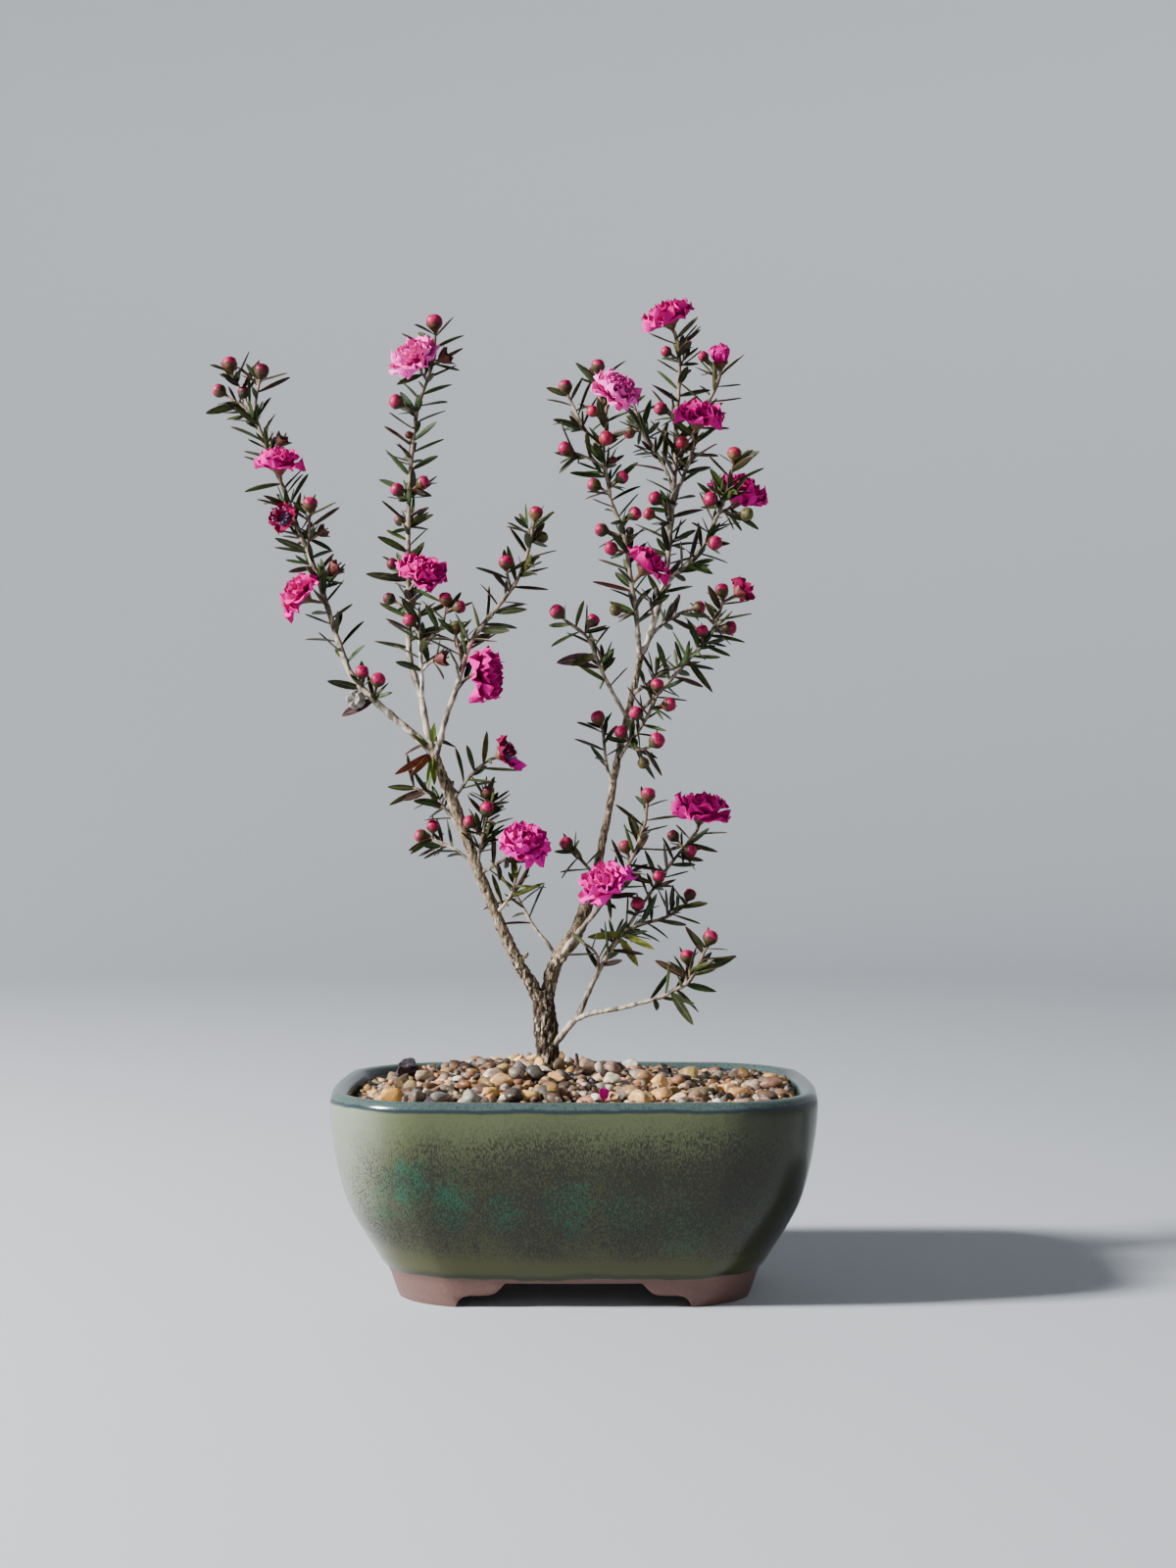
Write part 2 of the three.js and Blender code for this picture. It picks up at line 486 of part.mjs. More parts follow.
function makePot() {
  const outer = potOutline(POT_HALF_WIDTH, POT_HALF_DEPTH, POT_CORNER, POT_BOW);
  const inner = potOutline(INNER_HALF_WIDTH, INNER_HALF_DEPTH, INNER_CORNER, POT_BOW);
  const [footX, footY] = FOOT_INNER;
  return lofted(outer, POT_HALF_WIDTH, OUTER_PROFILE, 0)
    .subtract(lofted(inner, INNER_HALF_WIDTH, INNER_PROFILE, 0))
    .subtract(block([2 * footX, 2 * footY, 2 * BASE_Z], [0, 0, 0]))
    .subtract(footGap(0, false))
    .subtract(footGap(SIDE_GAP_SHIFT, true))
    .subtract(drainHole(-1))
    .subtract(drainHole(1))
    .simplify(FLAT_WITHIN);
}

// A square plastic screen with its rows of square holes, over a drain hole.
function makeScreen(side) {
  const z = FLOOR_Z + FIT_GAP + SCREEN_THICK / 2;
  const pitch = SCREEN_SIZE / (SCREEN_HOLES + SCREEN_MARGIN_SHARE);
  const hole = pitch * SCREEN_HOLE_SHARE;
  let screen = block([SCREEN_SIZE, SCREEN_SIZE, SCREEN_THICK], [side * DRAIN_X, 0, z]);
  for (let i = 0; i < SCREEN_HOLES; i += 1) {
    for (let j = 0; j < SCREEN_HOLES; j += 1) {
      const x = side * DRAIN_X + (i - (SCREEN_HOLES - 1) / 2) * pitch;
      const y = (j - (SCREEN_HOLES - 1) / 2) * pitch;
      screen = screen.subtract(block([hole, hole, 2 * SCREEN_THICK], [x, y, z]));
    }
  }
  return screen;
}

function makeSoil(trunkHole) {
  const low = FLOOR_Z + FIT_GAP;
  const size = SCREEN_SIZE + 2 * FIT_GAP;
  let soil = filling(low, SOIL_TOP).subtract(trunkHole);
  for (const side of [-1, 1]) {
    const room = block([size, size, 2 * (SCREEN_THICK + FIT_GAP)], [side * DRAIN_X, 0, low]);
    soil = soil.subtract(room);
  }
  return soil;
}

// Height of the gravel before its stones stand out.
function moundHeight(x, y) {
  const across = 1 - Math.min(1, Math.abs(x - MOUND_MIDDLE_X) / MOUND_HALF_WIDTH) ** 3;
  const deep = 1 - Math.min(1, Math.abs(y) / MOUND_HALF_DEPTH) ** 4;
  return GRAVEL_EDGE + GRAVEL_MOUND * across * deep;
}

// One loose stone, from the point where it lies and its three half-sizes.
function stone([x, y, sink, a, b, c], salt) {
  const geometry = new THREE.IcosahedronGeometry(1, 0);
  geometry.scale(a, b, c).rotateZ(salt * 1.7).rotateX(0.3 * draw(salt, 5));
  return solidOf(geometry.translate(x, y, moundHeight(x, y) + c - sink));
}

// Top dressing: a bed whose surface is raised into stones, with the largest lying on it.
const LARGE_STONES = [
  [-50.5, 6, 1, 5, 4, 4.4], [-55, -37, 1.4, 5.5, 4, 3.2], [-22, -30, 1.2, 4, 3.2, 2.6],
  [27, -36, 1.4, 4.6, 3.4, 2.8], [12, -20, 1.2, 3.6, 3, 2.6], [36, 4, 1.2, 3.8, 3.2, 2.8],
  [-34, 22, 1.2, 4, 3.4, 2.6], [50, -24, 1.4, 4, 3.4, 2.4], [-8, -42, 1.2, 4.2, 3.2, 2.4],
  [18, 30, 1.2, 4, 3.2, 2.6],
];

function makeGravel(trunkHole) {
  const across = Math.round((2 * POT_HALF_WIDTH) / STONE_CELL);
  const deep = Math.round((2 * POT_HALF_DEPTH) / STONE_CELL);
  const low = SOIL_TOP + FIT_GAP;
  const bed = new THREE.BoxGeometry(2 * POT_HALF_WIDTH, 2 * POT_HALF_DEPTH, 2, across, deep, 1);
  const position = bed.attributes.position;
  for (let i = 0; i < position.count; i += 1) {
    const [x, y] = [position.getX(i), position.getY(i)];
    const [column, row] = [Math.round(x / STONE_CELL + 40), Math.round(y / STONE_CELL + 40)];
    const edge = Math.abs(x) > POT_HALF_WIDTH - 1 || Math.abs(y) > POT_HALF_DEPTH - 1;
    const place = row * 97 + column;
    const stands = (column + row) % 2 === 0;
    const raised = stands ? RAISED_LEAST + (1 - RAISED_LEAST) * draw(place, 3) : HOLLOW_MOST * draw(place, 4);
    const moved = edge ? 0 : STONE_CELL * STONE_SHIFT;
    const top = moundHeight(x, y) + STONE_RELIEF * raised;
    position.setX(i, x + moved * (draw(place, 1) - 0.5));
    position.setY(i, y + moved * (draw(place, 2) - 0.5));
    position.setZ(i, position.getZ(i) > 0 ? top : low - 2);
  }
  const stones = LARGE_STONES.map(stone);
  const piled = [solidOf(bed), ...stones].reduce((sum, one) => sum.add(one));
  return joined([piled.intersect(filling(low, 2 * SOIL_TOP)).subtract(trunkHole)]);
}

// A round-sectioned tube along a route, whose radius changes from point to point.
function tube(points, radii, sides, grow) {
  const route = points.map((point) => point.clone());
  if (grow) {
    const last = route.length - 1;
    const lead = route[0].clone().sub(route[1]).setLength(grow);
    const end = route[last].clone().sub(route[last - 1]).setLength(grow);
    route[0].add(lead);
    route[last].add(end);
  }
  const path = new THREE.CatmullRomCurve3(route, false, "centripetal");
  const steps = Math.max(route.length - 1, Math.round(path.getLength() / STEP_LENGTH));
  const thread = 0.2;
  const turn = (2 * Math.PI) / sides;
  const ring = [...Array(sides).keys()].map((i) => new THREE.Vector2(
    thread * Math.cos(i * turn), thread * Math.sin(i * turn)));
  const geometry = new THREE.ExtrudeGeometry(new THREE.Shape(ring), {
    steps, bevelEnabled: false, extrudePath: path,
  });
  const centres = path.getSpacedPoints(steps);
  const position = geometry.attributes.position;
  const corner = new THREE.Vector3();
  for (let i = 0; i < position.count; i += 1) {
    corner.fromBufferAttribute(position, i);
    const gaps = centres.map((centre) => centre.distanceToSquared(corner));
    const nearest = gaps.indexOf(Math.min(...gaps));
    const along = (nearest / steps) * (radii.length - 1);
    const low = Math.min(Math.floor(along), radii.length - 2);
    const radius = THREE.MathUtils.lerp(radii[low], radii[low + 1], along - low) + grow;
    corner.sub(centres[nearest]).multiplyScalar(radius / thread).add(centres[nearest]);
    position.setXYZ(i, corner.x, corner.y, corner.z);
  }
  const spine = new THREE.CurvePath();
  centres.slice(1).forEach((centre, i) => spine.add(new THREE.LineCurve3(centres[i], centre)));
  return { solid: solidOf(geometry), path: spine };
}

// How many of the trunk's parts are whole legs, the others being snags left by cut branches
const WHOLE_LEGS = 3;

// The parts of the trunk, grown by a clearance when they are a cutting shape.
function trunkWood(grow) {
  return TRUNK.map((points, i) => {
    const radii = points.map((point) => point[3]);
    return tube(points.map(seen), radii, i < WHOLE_LEGS ? 6 : 4, grow).solid;
  });
}

// Turns and moves a geometry drawn along +Z to stand at a point and point along a direction.
function stood(geometry, point, direction) {
  const up = new THREE.Vector3(0, 0, 1);
  const turn = new THREE.Quaternion().setFromUnitVectors(up, direction.clone().normalize());
  return geometry.applyQuaternion(turn).translate(point.x, point.y, point.z);
}

// A pointed leaf: a blade folded along its keel, widest nearer the stalk, its tip bent up a little.
function leafGeometry(foot, axis, across, length, width, thick) {
  const geometry = new THREE.TetrahedronGeometry(1, 0);
  const position = geometry.attributes.position;
  const upward = new THREE.Vector3().crossVectors(axis, across);
  for (let i = 0; i < position.count; i += 1) {
    const [x, y, z] = [position.getX(i), position.getY(i), position.getZ(i)];
    const point = foot.clone();
    if (z > 0) {
      point.addScaledVector(axis, LEAF_WIDEST * length);
      point.addScaledVector(across, (Math.sign(x) * width) / 2).addScaledVector(upward, thick / 2);
    } else {
      const lift = y > 0 ? -thick / 2 : LEAF_LIFT * length;
      point.addScaledVector(axis, y > 0 ? 0 : length).addScaledVector(upward, lift);
    }
    position.setXYZ(i, point.x, point.y, point.z);
  }
  return geometry;
}

// A bud and an empty cup, as shares of their size above the top of the stalk
const BUD_PROFILE = [[0.52, 0.6], [0.32, 0.95], [0, 1.06]];
const CUP_PROFILE = [[0.58, 0.75], [0, 0.42]];

function turnedSolid(profile, size, sides, foot, direction) {
  const points = profile.map(([radius, height]) => new THREE.Vector2(radius * size, height * size));
  const geometry = new THREE.LatheGeometry(points, sides).rotateX(Math.PI / 2);
  return solidOf(stood(geometry, foot, direction));
}

// Rings of a bloom from its foot to its heart: share of the radius or plain radius, and height.
// A whorl's rim goes out to its petals, rises on the way and is turned against the one below.
const CALYX = [{ radius: 0, height: 0 }, { radius: 2.1, height: 2.3 }];
const OPEN_RINGS = [
  ...CALYX, { rim: 1, height: 2.9, rise: 0.26, turn: 0 }, { radius: 1.9, height: 3.7 },
  { rim: 0.72, height: 4, rise: 0.6, turn: 2 }, { radius: 1.3, height: 4.8 },
  { rim: 0.44, height: 5, rise: 1.1, turn: 1 }, { radius: 0, height: 5.2 },
];
const SPENT_RINGS = [
  ...CALYX, { rim: 1, height: 2.9, rise: 0.4, turn: 0 }, { radius: 1.6, height: 3.7 },
  { rim: 0.5, height: 4, rise: 1.3, turn: 2 }, { radius: 0, height: 4 },
];
const HALF_RINGS = [...CALYX, { rim: 1, height: 3.4, rise: 1.5, turn: 0 }, { radius: 0, height: 3.9 }];
const PETALS = 5;
const PETAL_COLUMNS = 4;

// A petal's edge: where two petals meet, the least of that, the dip in a tip and how tips vary
const NOTCH_RADIUS = 2.5;
const NOTCH_LEAST = 1.5;
const TIP_DIP = 0.94;
const TIP_SPREAD = 0.12;

// A bloom drawn about +Z: whorls of notched, cupped and ruffled petals on a calyx.
function bloomGeometry(rings, radius, salt) {
  const profile = rings.map((ring, j) => new THREE.Vector2(ring.radius ?? 1, j));
  const columns = PETALS * PETAL_COLUMNS;
  const geometry = new THREE.LatheGeometry(profile, columns);
  const position = geometry.attributes.position;
  for (let i = 0; i < position.count; i += 1) {
    const ring = rings[i % rings.length];
    const column = Math.floor(i / rings.length) % columns;
    const angle = (column / columns) * 2 * Math.PI + salt;
    let out = ring.radius;
    let height = ring.height;
    if (ring.rim) {
      const place = (column + ring.turn) % PETAL_COLUMNS;
      const notch = Math.max(NOTCH_RADIUS * ring.rim, NOTCH_LEAST);
      const varied = 1 + TIP_SPREAD * (draw(column, salt + ring.turn) - 0.5);
      out = place === 0 ? notch : radius * ring.rim * (place === 2 ? TIP_DIP : 1) * varied;
      const ruffle = place === 0 ? 0 : RUFFLE * (draw(column, salt + 3 + ring.turn) - 0.5);
      height += ring.rise * (out - notch) + ruffle;
    }
    position.setXYZ(i, out * Math.cos(angle), out * Math.sin(angle), height);
  }
  return geometry;
}

// A bloom at its place, with the point of its calyx drawn out to the wood that carries it.
function makeBloom(bloom, index, paths) {
  const facing = new THREE.Vector3(...bloom.facing).normalize();
  const foot = seen(bloom.at).addScaledVector(facing, -PEDICEL_REACH);
  const rings = bloom.half ? HALF_RINGS : bloom.spent ? SPENT_RINGS : OPEN_RINGS;
  const geometry = stood(bloomGeometry(rings, bloom.across / 2, index + 1), foot, facing);
  const wood = nearestWood(paths, foot, STALK_DROP);
  if (wood.clone().sub(foot).dot(facing) < WOOD_ABOVE_FOOT) {
    const position = geometry.attributes.position;
    for (let i = 0; i < position.count; i += rings.length) position.setXYZ(i, wood.x, wood.y, wood.z);
  }
  return solidOf(geometry);
}

// Whether two boxes in space meet.
function near(a, b) {
  return [0, 1, 2].every((k) => a.min[k] < b.max[k] && b.min[k] < a.max[k]);
}

// Whether a solid runs into any made piece other than the named one.
function crosses(solid, made, own) {
  const box = solid.boundingBox();
  for (const [name, other] of made) {
    if (name === own || !near(box, other.boundingBox())) continue;
    if (solid.intersect(other).volume() > CONTACT_VOLUME) return true;
  }
  return false;
}

// The side and front directions square to a stem at a point.
function frameAt(path, share) {
  const along = path.getTangentAt(share);
  const side = new THREE.Vector3().crossVectors(along, new THREE.Vector3(0, 1, 0)).normalize();
  return { point: path.getPointAt(share), along, side, front: new THREE.Vector3().crossVectors(along, side) };
}

// The nearest point of a stem's wood to a place, looked for a little below it.
function nearestWood(paths, place, lower) {
  const below = place.clone().setZ(place.z - lower);
  let best = null;
  for (const path of paths) {
    for (let i = 0; i <= WOOD_SAMPLES; i += 1) {
      const point = path.getPointAt(i / WOOD_SAMPLES);
      const gap = point.distanceTo(below);
      if (!best || gap < best.gap) best = { gap, point };
    }
  }
  return best.point;
}

// A bud or an empty cup at its place, with the stalk that carries it.
function budSolid(paths, [x, depth, z, size], profile) {
  const place = seen([x, depth, z]);
  const foot = nearestWood(paths, place, STALK_DROP);
  const direction = place.clone().sub(foot).normalize();
  const stalk = Math.max(LEAST_STALK, foot.distanceTo(place) - size / 2);
  const head = profile.map(([radius, height]) => [radius * size, stalk + height * size]);
  const neck = stalk > LONG_STALK ? [[STALK_RADIUS, stalk]] : [];
  return turnedSolid([[0, 0], [STALK_RADIUS, 0], ...neck, ...head], 1, 5, foot, direction);
}

// The leaf that grows at a step along a stem, turned on by the number of the try.
function leafAt(path, radius, step, salt, turn, grow) {
  const { point, along, side, front } = frameAt(path, Math.min(1, (step * LEAF_STEP) / path.getLength()));
  const angle = THREE.MathUtils.degToRad(step * GOLDEN_TURN + salt * STEM_TURN + turn * TRY_TURN);
  const out = side.multiplyScalar(Math.cos(angle)).addScaledVector(front, Math.sin(angle));
  const lean = THREE.MathUtils.degToRad(LEAF_LEAN + LEAN_SPREAD * (draw(step, salt) - 0.5));
  const axis = along.clone().multiplyScalar(Math.cos(lean)).addScaledVector(out, Math.sin(lean)).normalize();
  const across = new THREE.Vector3().crossVectors(along, out).normalize();
  const length = LEAF_LENGTH * (LENGTH_LEAST + LENGTH_SPREAD * draw(step, salt + 7)) + grow;
  const foot = point.addScaledVector(axis, grow ? radius : 0);
  const [width, thick] = [LEAF_WIDTH + 2 * grow, LEAF_THICK + 2 * grow];
  return solidOf(leafGeometry(foot, axis, across, length, width, thick));
}

// The wood of a stem: its main route and its side twigs.
function stemWood(stem, grow) {
  const radii = [stem.radius, (stem.radius + stem.tip) / 2, stem.tip];
  const main = tube(stem.route.map(seen), radii, 5, grow);
  const side = (stem.twigs ?? []).map((twig) => {
    const points = twig.map(seen);
    points[0] = nearestWood([main.path], points[0], 0);
    return tube(points, [stem.tip * 1.05, stem.tip * 0.9], 4, grow);
  });
  return { solids: [main, ...side].map((one) => one.solid), paths: [main, ...side].map((one) => one.path) };
}

// A woody seed capsule left on the far left stem, with its five valves
const CAPSULE = { at: [-69.4, -3.6, 184.6], facing: [-0.3, -0.9, 0.1], size: 6 };
const CAPSULE_PROFILE = [[0, 0], [0.3, 0], [0.5, 0.35], [0.48, 0.7], [0.3, 0.85], [0, 0.7]];

function makeCapsule(carrier) {
  const facing = new THREE.Vector3(...CAPSULE.facing).normalize();
  const foot = seen(CAPSULE.at).addScaledVector(facing, -CAPSULE.size / 2);
  return turnedSolid(CAPSULE_PROFILE, CAPSULE.size, 7, foot, facing).subtract(carrier);
}

// The plant, made in the order wood, blooms, buds and leaves, so that each clears the ones before.
function makePlant() {
  const made = new Map([["trunk", joined(trunkWood(0))]]);
  const grown = new Map([["trunk", joined(trunkWood(SEAT_GAP))]]);
  const paths = new Map();
  for (const stem of STEMS) {
    const wood = stemWood(stem, 0);
    paths.set(stem.name, wood.paths);
    grown.set(stem.name, joined(stemWood(stem, SEAT_GAP).solids));
    const whole = wood.solids.reduce((sum, one) => sum.add(one));
    made.set(stem.name, joined([stem.cut.reduce((left, name) => left.subtract(grown.get(name)), whole)]));
  }
  for (const [index, bloom] of BLOOMS.entries()) {
    const whole = makeBloom(bloom, index, paths.get(bloom.on));
    made.set(bloom.name, joined([whole.subtract(grown.get(bloom.on))]));
  }
  made.set("seed_capsule", makeCapsule(grown.get("far_left_stem")));
  for (const stem of STEMS) {
    const pieces = [made.get(stem.name)];
    for (const bud of stem.buds ?? []) pieces.push(budSolid(paths.get(stem.name), bud, BUD_PROFILE));
    for (const cup of stem.cups ?? []) pieces.push(budSolid(paths.get(stem.name), cup, CUP_PROFILE));
    made.set(stem.name, joined(pieces));
  }
  for (const [index, stem] of STEMS.entries()) {
    const pieces = [made.get(stem.name)];
    for (const [number, path] of paths.get(stem.name).entries()) {
      const steps = Math.floor(path.getLength() / LEAF_STEP);
      const leafy = number === 0 ? stem.leafy : TWIG_LEAFY;
      const first = Math.ceil((steps * leafy) / LEAF_EVERY) * LEAF_EVERY;
      for (let step = first; step <= steps; step += LEAF_EVERY) {
        for (let turn = 0; turn < TRIES; turn += 1) {
          if (crosses(leafAt(path, stem.tip, step, index, turn, SEAT_GAP), made, stem.name)) continue;
          pieces.push(leafAt(path, stem.tip, step, index, turn, 0));
          break;
        }
      }
    }
    made.set(stem.name, joined(pieces));
  }
  return made;
}

const GLAZE = { color: 0x6f7d58, roughness: 0.25, metalness: 0 };
const GRAVEL = { color: 0xb08a66, roughness: 0.7, metalness: 0 };
const SOIL = { color: 0x2b211a, roughness: 1, metalness: 0 };
const SCREEN = { color: 0x1c1c1c, roughness: 0.5, metalness: 0 };
const BARK = { color: 0x6b5645, roughness: 0.9, metalness: 0 };
const FOLIAGE = { color: 0x3c4a32, roughness: 0.5, metalness: 0 };
const PETAL = { color: 0xd81b82, roughness: 0.6, metalness: 0 };
const FADED = { color: 0x5e1226, roughness: 0.8, metalness: 0 };

// The colours and finish of a part of the plant.
function lookOf(name) {
  const bloom = BLOOMS.find((one) => one.name === name);
  if (bloom) return bloom.spent ? FADED : PETAL;
  return name === "trunk" || name === "seed_capsule" ? BARK : FOLIAGE;
}

const tree = new THREE.Group();
const trunkHole = joined(trunkWood(SEAT_GAP));
tree.add(meshOf("pot", makePot(), GLAZE));
tree.add(meshOf("drain_screen_left", makeScreen(-1), SCREEN));
tree.add(meshOf("drain_screen_right", makeScreen(1), SCREEN));
tree.add(meshOf("soil", makeSoil(trunkHole), SOIL));
tree.add(meshOf("gravel", makeGravel(trunkHole), GRAVEL));
for (const [name, solid] of makePlant()) {
  tree.add(meshOf(name, solid, lookOf(name)));
}

// The origin goes under the middle of the whole object.
const bounds = new THREE.Box3().setFromObject(tree);
const middle = bounds.getCenter(new THREE.Vector3());
tree.position.set(-middle.x, -middle.y, -bounds.min.z);

export default tree;
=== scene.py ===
"""The looks of a burgundy queen tea tree, grown as a bonsai in a glazed pot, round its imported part.

Sizes are in millimetres about the middle of the pot, with z from the surface that it stands on.
Each finished mesh is moved to the row frame, in metres, before it is shown.
"""

import logging
import math
import random
from collections.abc import Callable, Iterable, Sequence
from dataclasses import dataclass
from enum import Enum

import bmesh
import bpy
from mathutils import Matrix, Vector, noise


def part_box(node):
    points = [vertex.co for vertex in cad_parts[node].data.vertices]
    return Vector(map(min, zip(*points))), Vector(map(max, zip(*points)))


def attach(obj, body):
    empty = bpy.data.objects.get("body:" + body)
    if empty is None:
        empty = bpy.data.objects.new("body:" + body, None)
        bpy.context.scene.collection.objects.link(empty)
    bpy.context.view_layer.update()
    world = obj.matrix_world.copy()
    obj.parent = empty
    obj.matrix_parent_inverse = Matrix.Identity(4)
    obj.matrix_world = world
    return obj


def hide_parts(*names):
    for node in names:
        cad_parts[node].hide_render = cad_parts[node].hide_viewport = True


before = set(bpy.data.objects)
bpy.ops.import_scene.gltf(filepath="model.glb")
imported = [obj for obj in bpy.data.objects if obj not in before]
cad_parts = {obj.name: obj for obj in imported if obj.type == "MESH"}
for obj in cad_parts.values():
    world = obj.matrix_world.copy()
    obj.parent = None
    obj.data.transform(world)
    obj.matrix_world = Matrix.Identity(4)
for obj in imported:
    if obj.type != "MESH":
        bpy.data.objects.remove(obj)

LOG = logging.getLogger("bonsai")
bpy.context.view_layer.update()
POT_LOW, POT_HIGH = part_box("pot")
MM = 0.001
WELD = 1e-4
ROW_FRAME = Matrix.Translation(((POT_LOW.x + POT_HIGH.x) / 2, 0, 0)) @ Matrix.Scale(MM, 4)

Point = tuple[float, float, float]
Colour = tuple[float, float, float]
Profile = Sequence[tuple[float, float]]
BMVert, BMEdge, BMFace = bmesh.types.BMVert, bmesh.types.BMEdge, bmesh.types.BMFace
Mesh, Material, Socket = bpy.types.Mesh, bpy.types.Material, bpy.types.NodeSocket

# A direction that no stem follows, from which the sides of the swept circles are counted.
ASKEW = Vector((0.3, 1, 0.2))
DOWN = Vector((0, 0, -1))

# The plant's points are noted as (x, depth, z): x and z where they line up with the plane through
# the middle of the pot for an eye at EYE, and the depth behind that plane.
EYE = Vector((4.3, -806, 157.8))


class Slot(Enum):
    """The record's material slots."""

    GLAZE = "glaze"
    GRAVEL = "gravel"
    BARK = "bark"
    FOLIAGE = "foliage"
    PETAL = "petal"
    SPENT_PETAL = "spent_petal"


class Look(Enum):
    """How far a bud has come, by the colours of its ball and of its cup."""

    CRIMSON = ((0.32, 0.0, 0.056), (0.036, 0.040, 0.010))
    DARK = ((0.12, 0.002, 0.018), (0.030, 0.032, 0.012))
    TAN = ((0.32, 0.006, 0.040), (0.15, 0.085, 0.028))
    GREEN = ((0.090, 0.080, 0.020), (0.060, 0.085, 0.022))


class Form(Enum):
    """How far a flower has opened."""

    OPEN = "open"
    HALF = "half open"
    SPENT = "spent"


class Hue(Enum):
    """A flower's colours: at its petals' edges and at their feet."""

    HOT = ((0.68, 0.0, 0.27), (0.42, 0.0, 0.12))
    ROSY = ((0.76, 0.0, 0.38), (0.52, 0.0, 0.17))
    PALE = ((0.90, 0.130, 0.55), (0.68, 0.0, 0.27))
    DEEP = ((0.56, 0.0, 0.19), (0.30, 0.0, 0.065))
    FADED = ((0.20, 0.002, 0.042), (0.030, 0.0, 0.010))


DARK, TAN, GREEN = Look.DARK, Look.TAN, Look.GREEN


@dataclass(frozen=True)
class Bud:
    """A bud or an empty cup: its noted place, its size and its look."""

    x: float
    depth: float
    z: float
    size: float
    look: Look = Look.CRIMSON


@dataclass(frozen=True)
class Stem:
    """A leafy stem: its node, radii, where its leaves begin (0 to 1), and what grows on it."""

    node: str
    radius: float
    tip: float
    leafy: float
    route: tuple[Point, ...]
    twigs: tuple[tuple[Point, ...], ...] = ()
    buds: tuple[Bud, ...] = ()
    cups: tuple[Bud, ...] = ()


@dataclass(frozen=True)
class Bloom:
    """A flower: its stem, the middle of its face, where it faces, its width, colours and form."""

    stem: str
    at: Point
    facing: Point
    across: float
    hue: Hue = Hue.HOT
    form: Form = Form.OPEN


# Root stock and legs: each point is (x, depth, z, radius).
TRUNK = (
    ((-8, 1, 34, 0.9), (-8.6, 0.5, 48, 2), (-8.5, 0, 60, 3.2), (-8.3, 0, 70, 2.9), (-9, 0, 80, 3.3),
     (-9.4, 0, 85, 3.7), (-10.2, 0, 89, 4), (-10.4, 0.2, 92, 2.8)),
    ((-9.5, 0, 86, 2.3), (-12.3, -0.5, 91.3, 2), (-14.1, -1, 95, 1.7), (-17.2, -1.5, 100, 1.7),
     (-22.2, -2, 110, 1.65), (-26.3, -2.5, 120, 1.5), (-30.4, -3, 130, 1.6), (-34, -3.5, 140, 1.6),
     (-38, -4, 150.6, 1.7), (-40.7, -4, 157.3, 1.75), (-43.4, -4, 164, 1.6), (-45.4, -4, 169, 1.4)),
    ((-9, 0, 85, 2.3), (-8.3, 0.5, 91, 2.1), (-7.8, 1, 95, 2), (-6.3, 1, 100, 2.3), (-4.6, 1, 103.5, 2.1),
     (0.3, 1.5, 110, 1.6), (4, 2, 120, 1.4), (7, 2.5, 130, 1.15), (9, 3, 140, 1.1), (11, 3.5, 150, 1.15),
     (12.6, 4, 160, 1.1), (14.6, 4, 170, 1), (17, 4.5, 180, 1), (19.3, 5, 190, 1), (21.2, 5, 199.5, 1)),
    ((-17.8, -1.5, 101.5, 0.9), (-14.6, -3, 104, 0.6)),
    ((-5.8, 1, 101, 1), (-2.6, -1.2, 102.6, 0.6)),
)

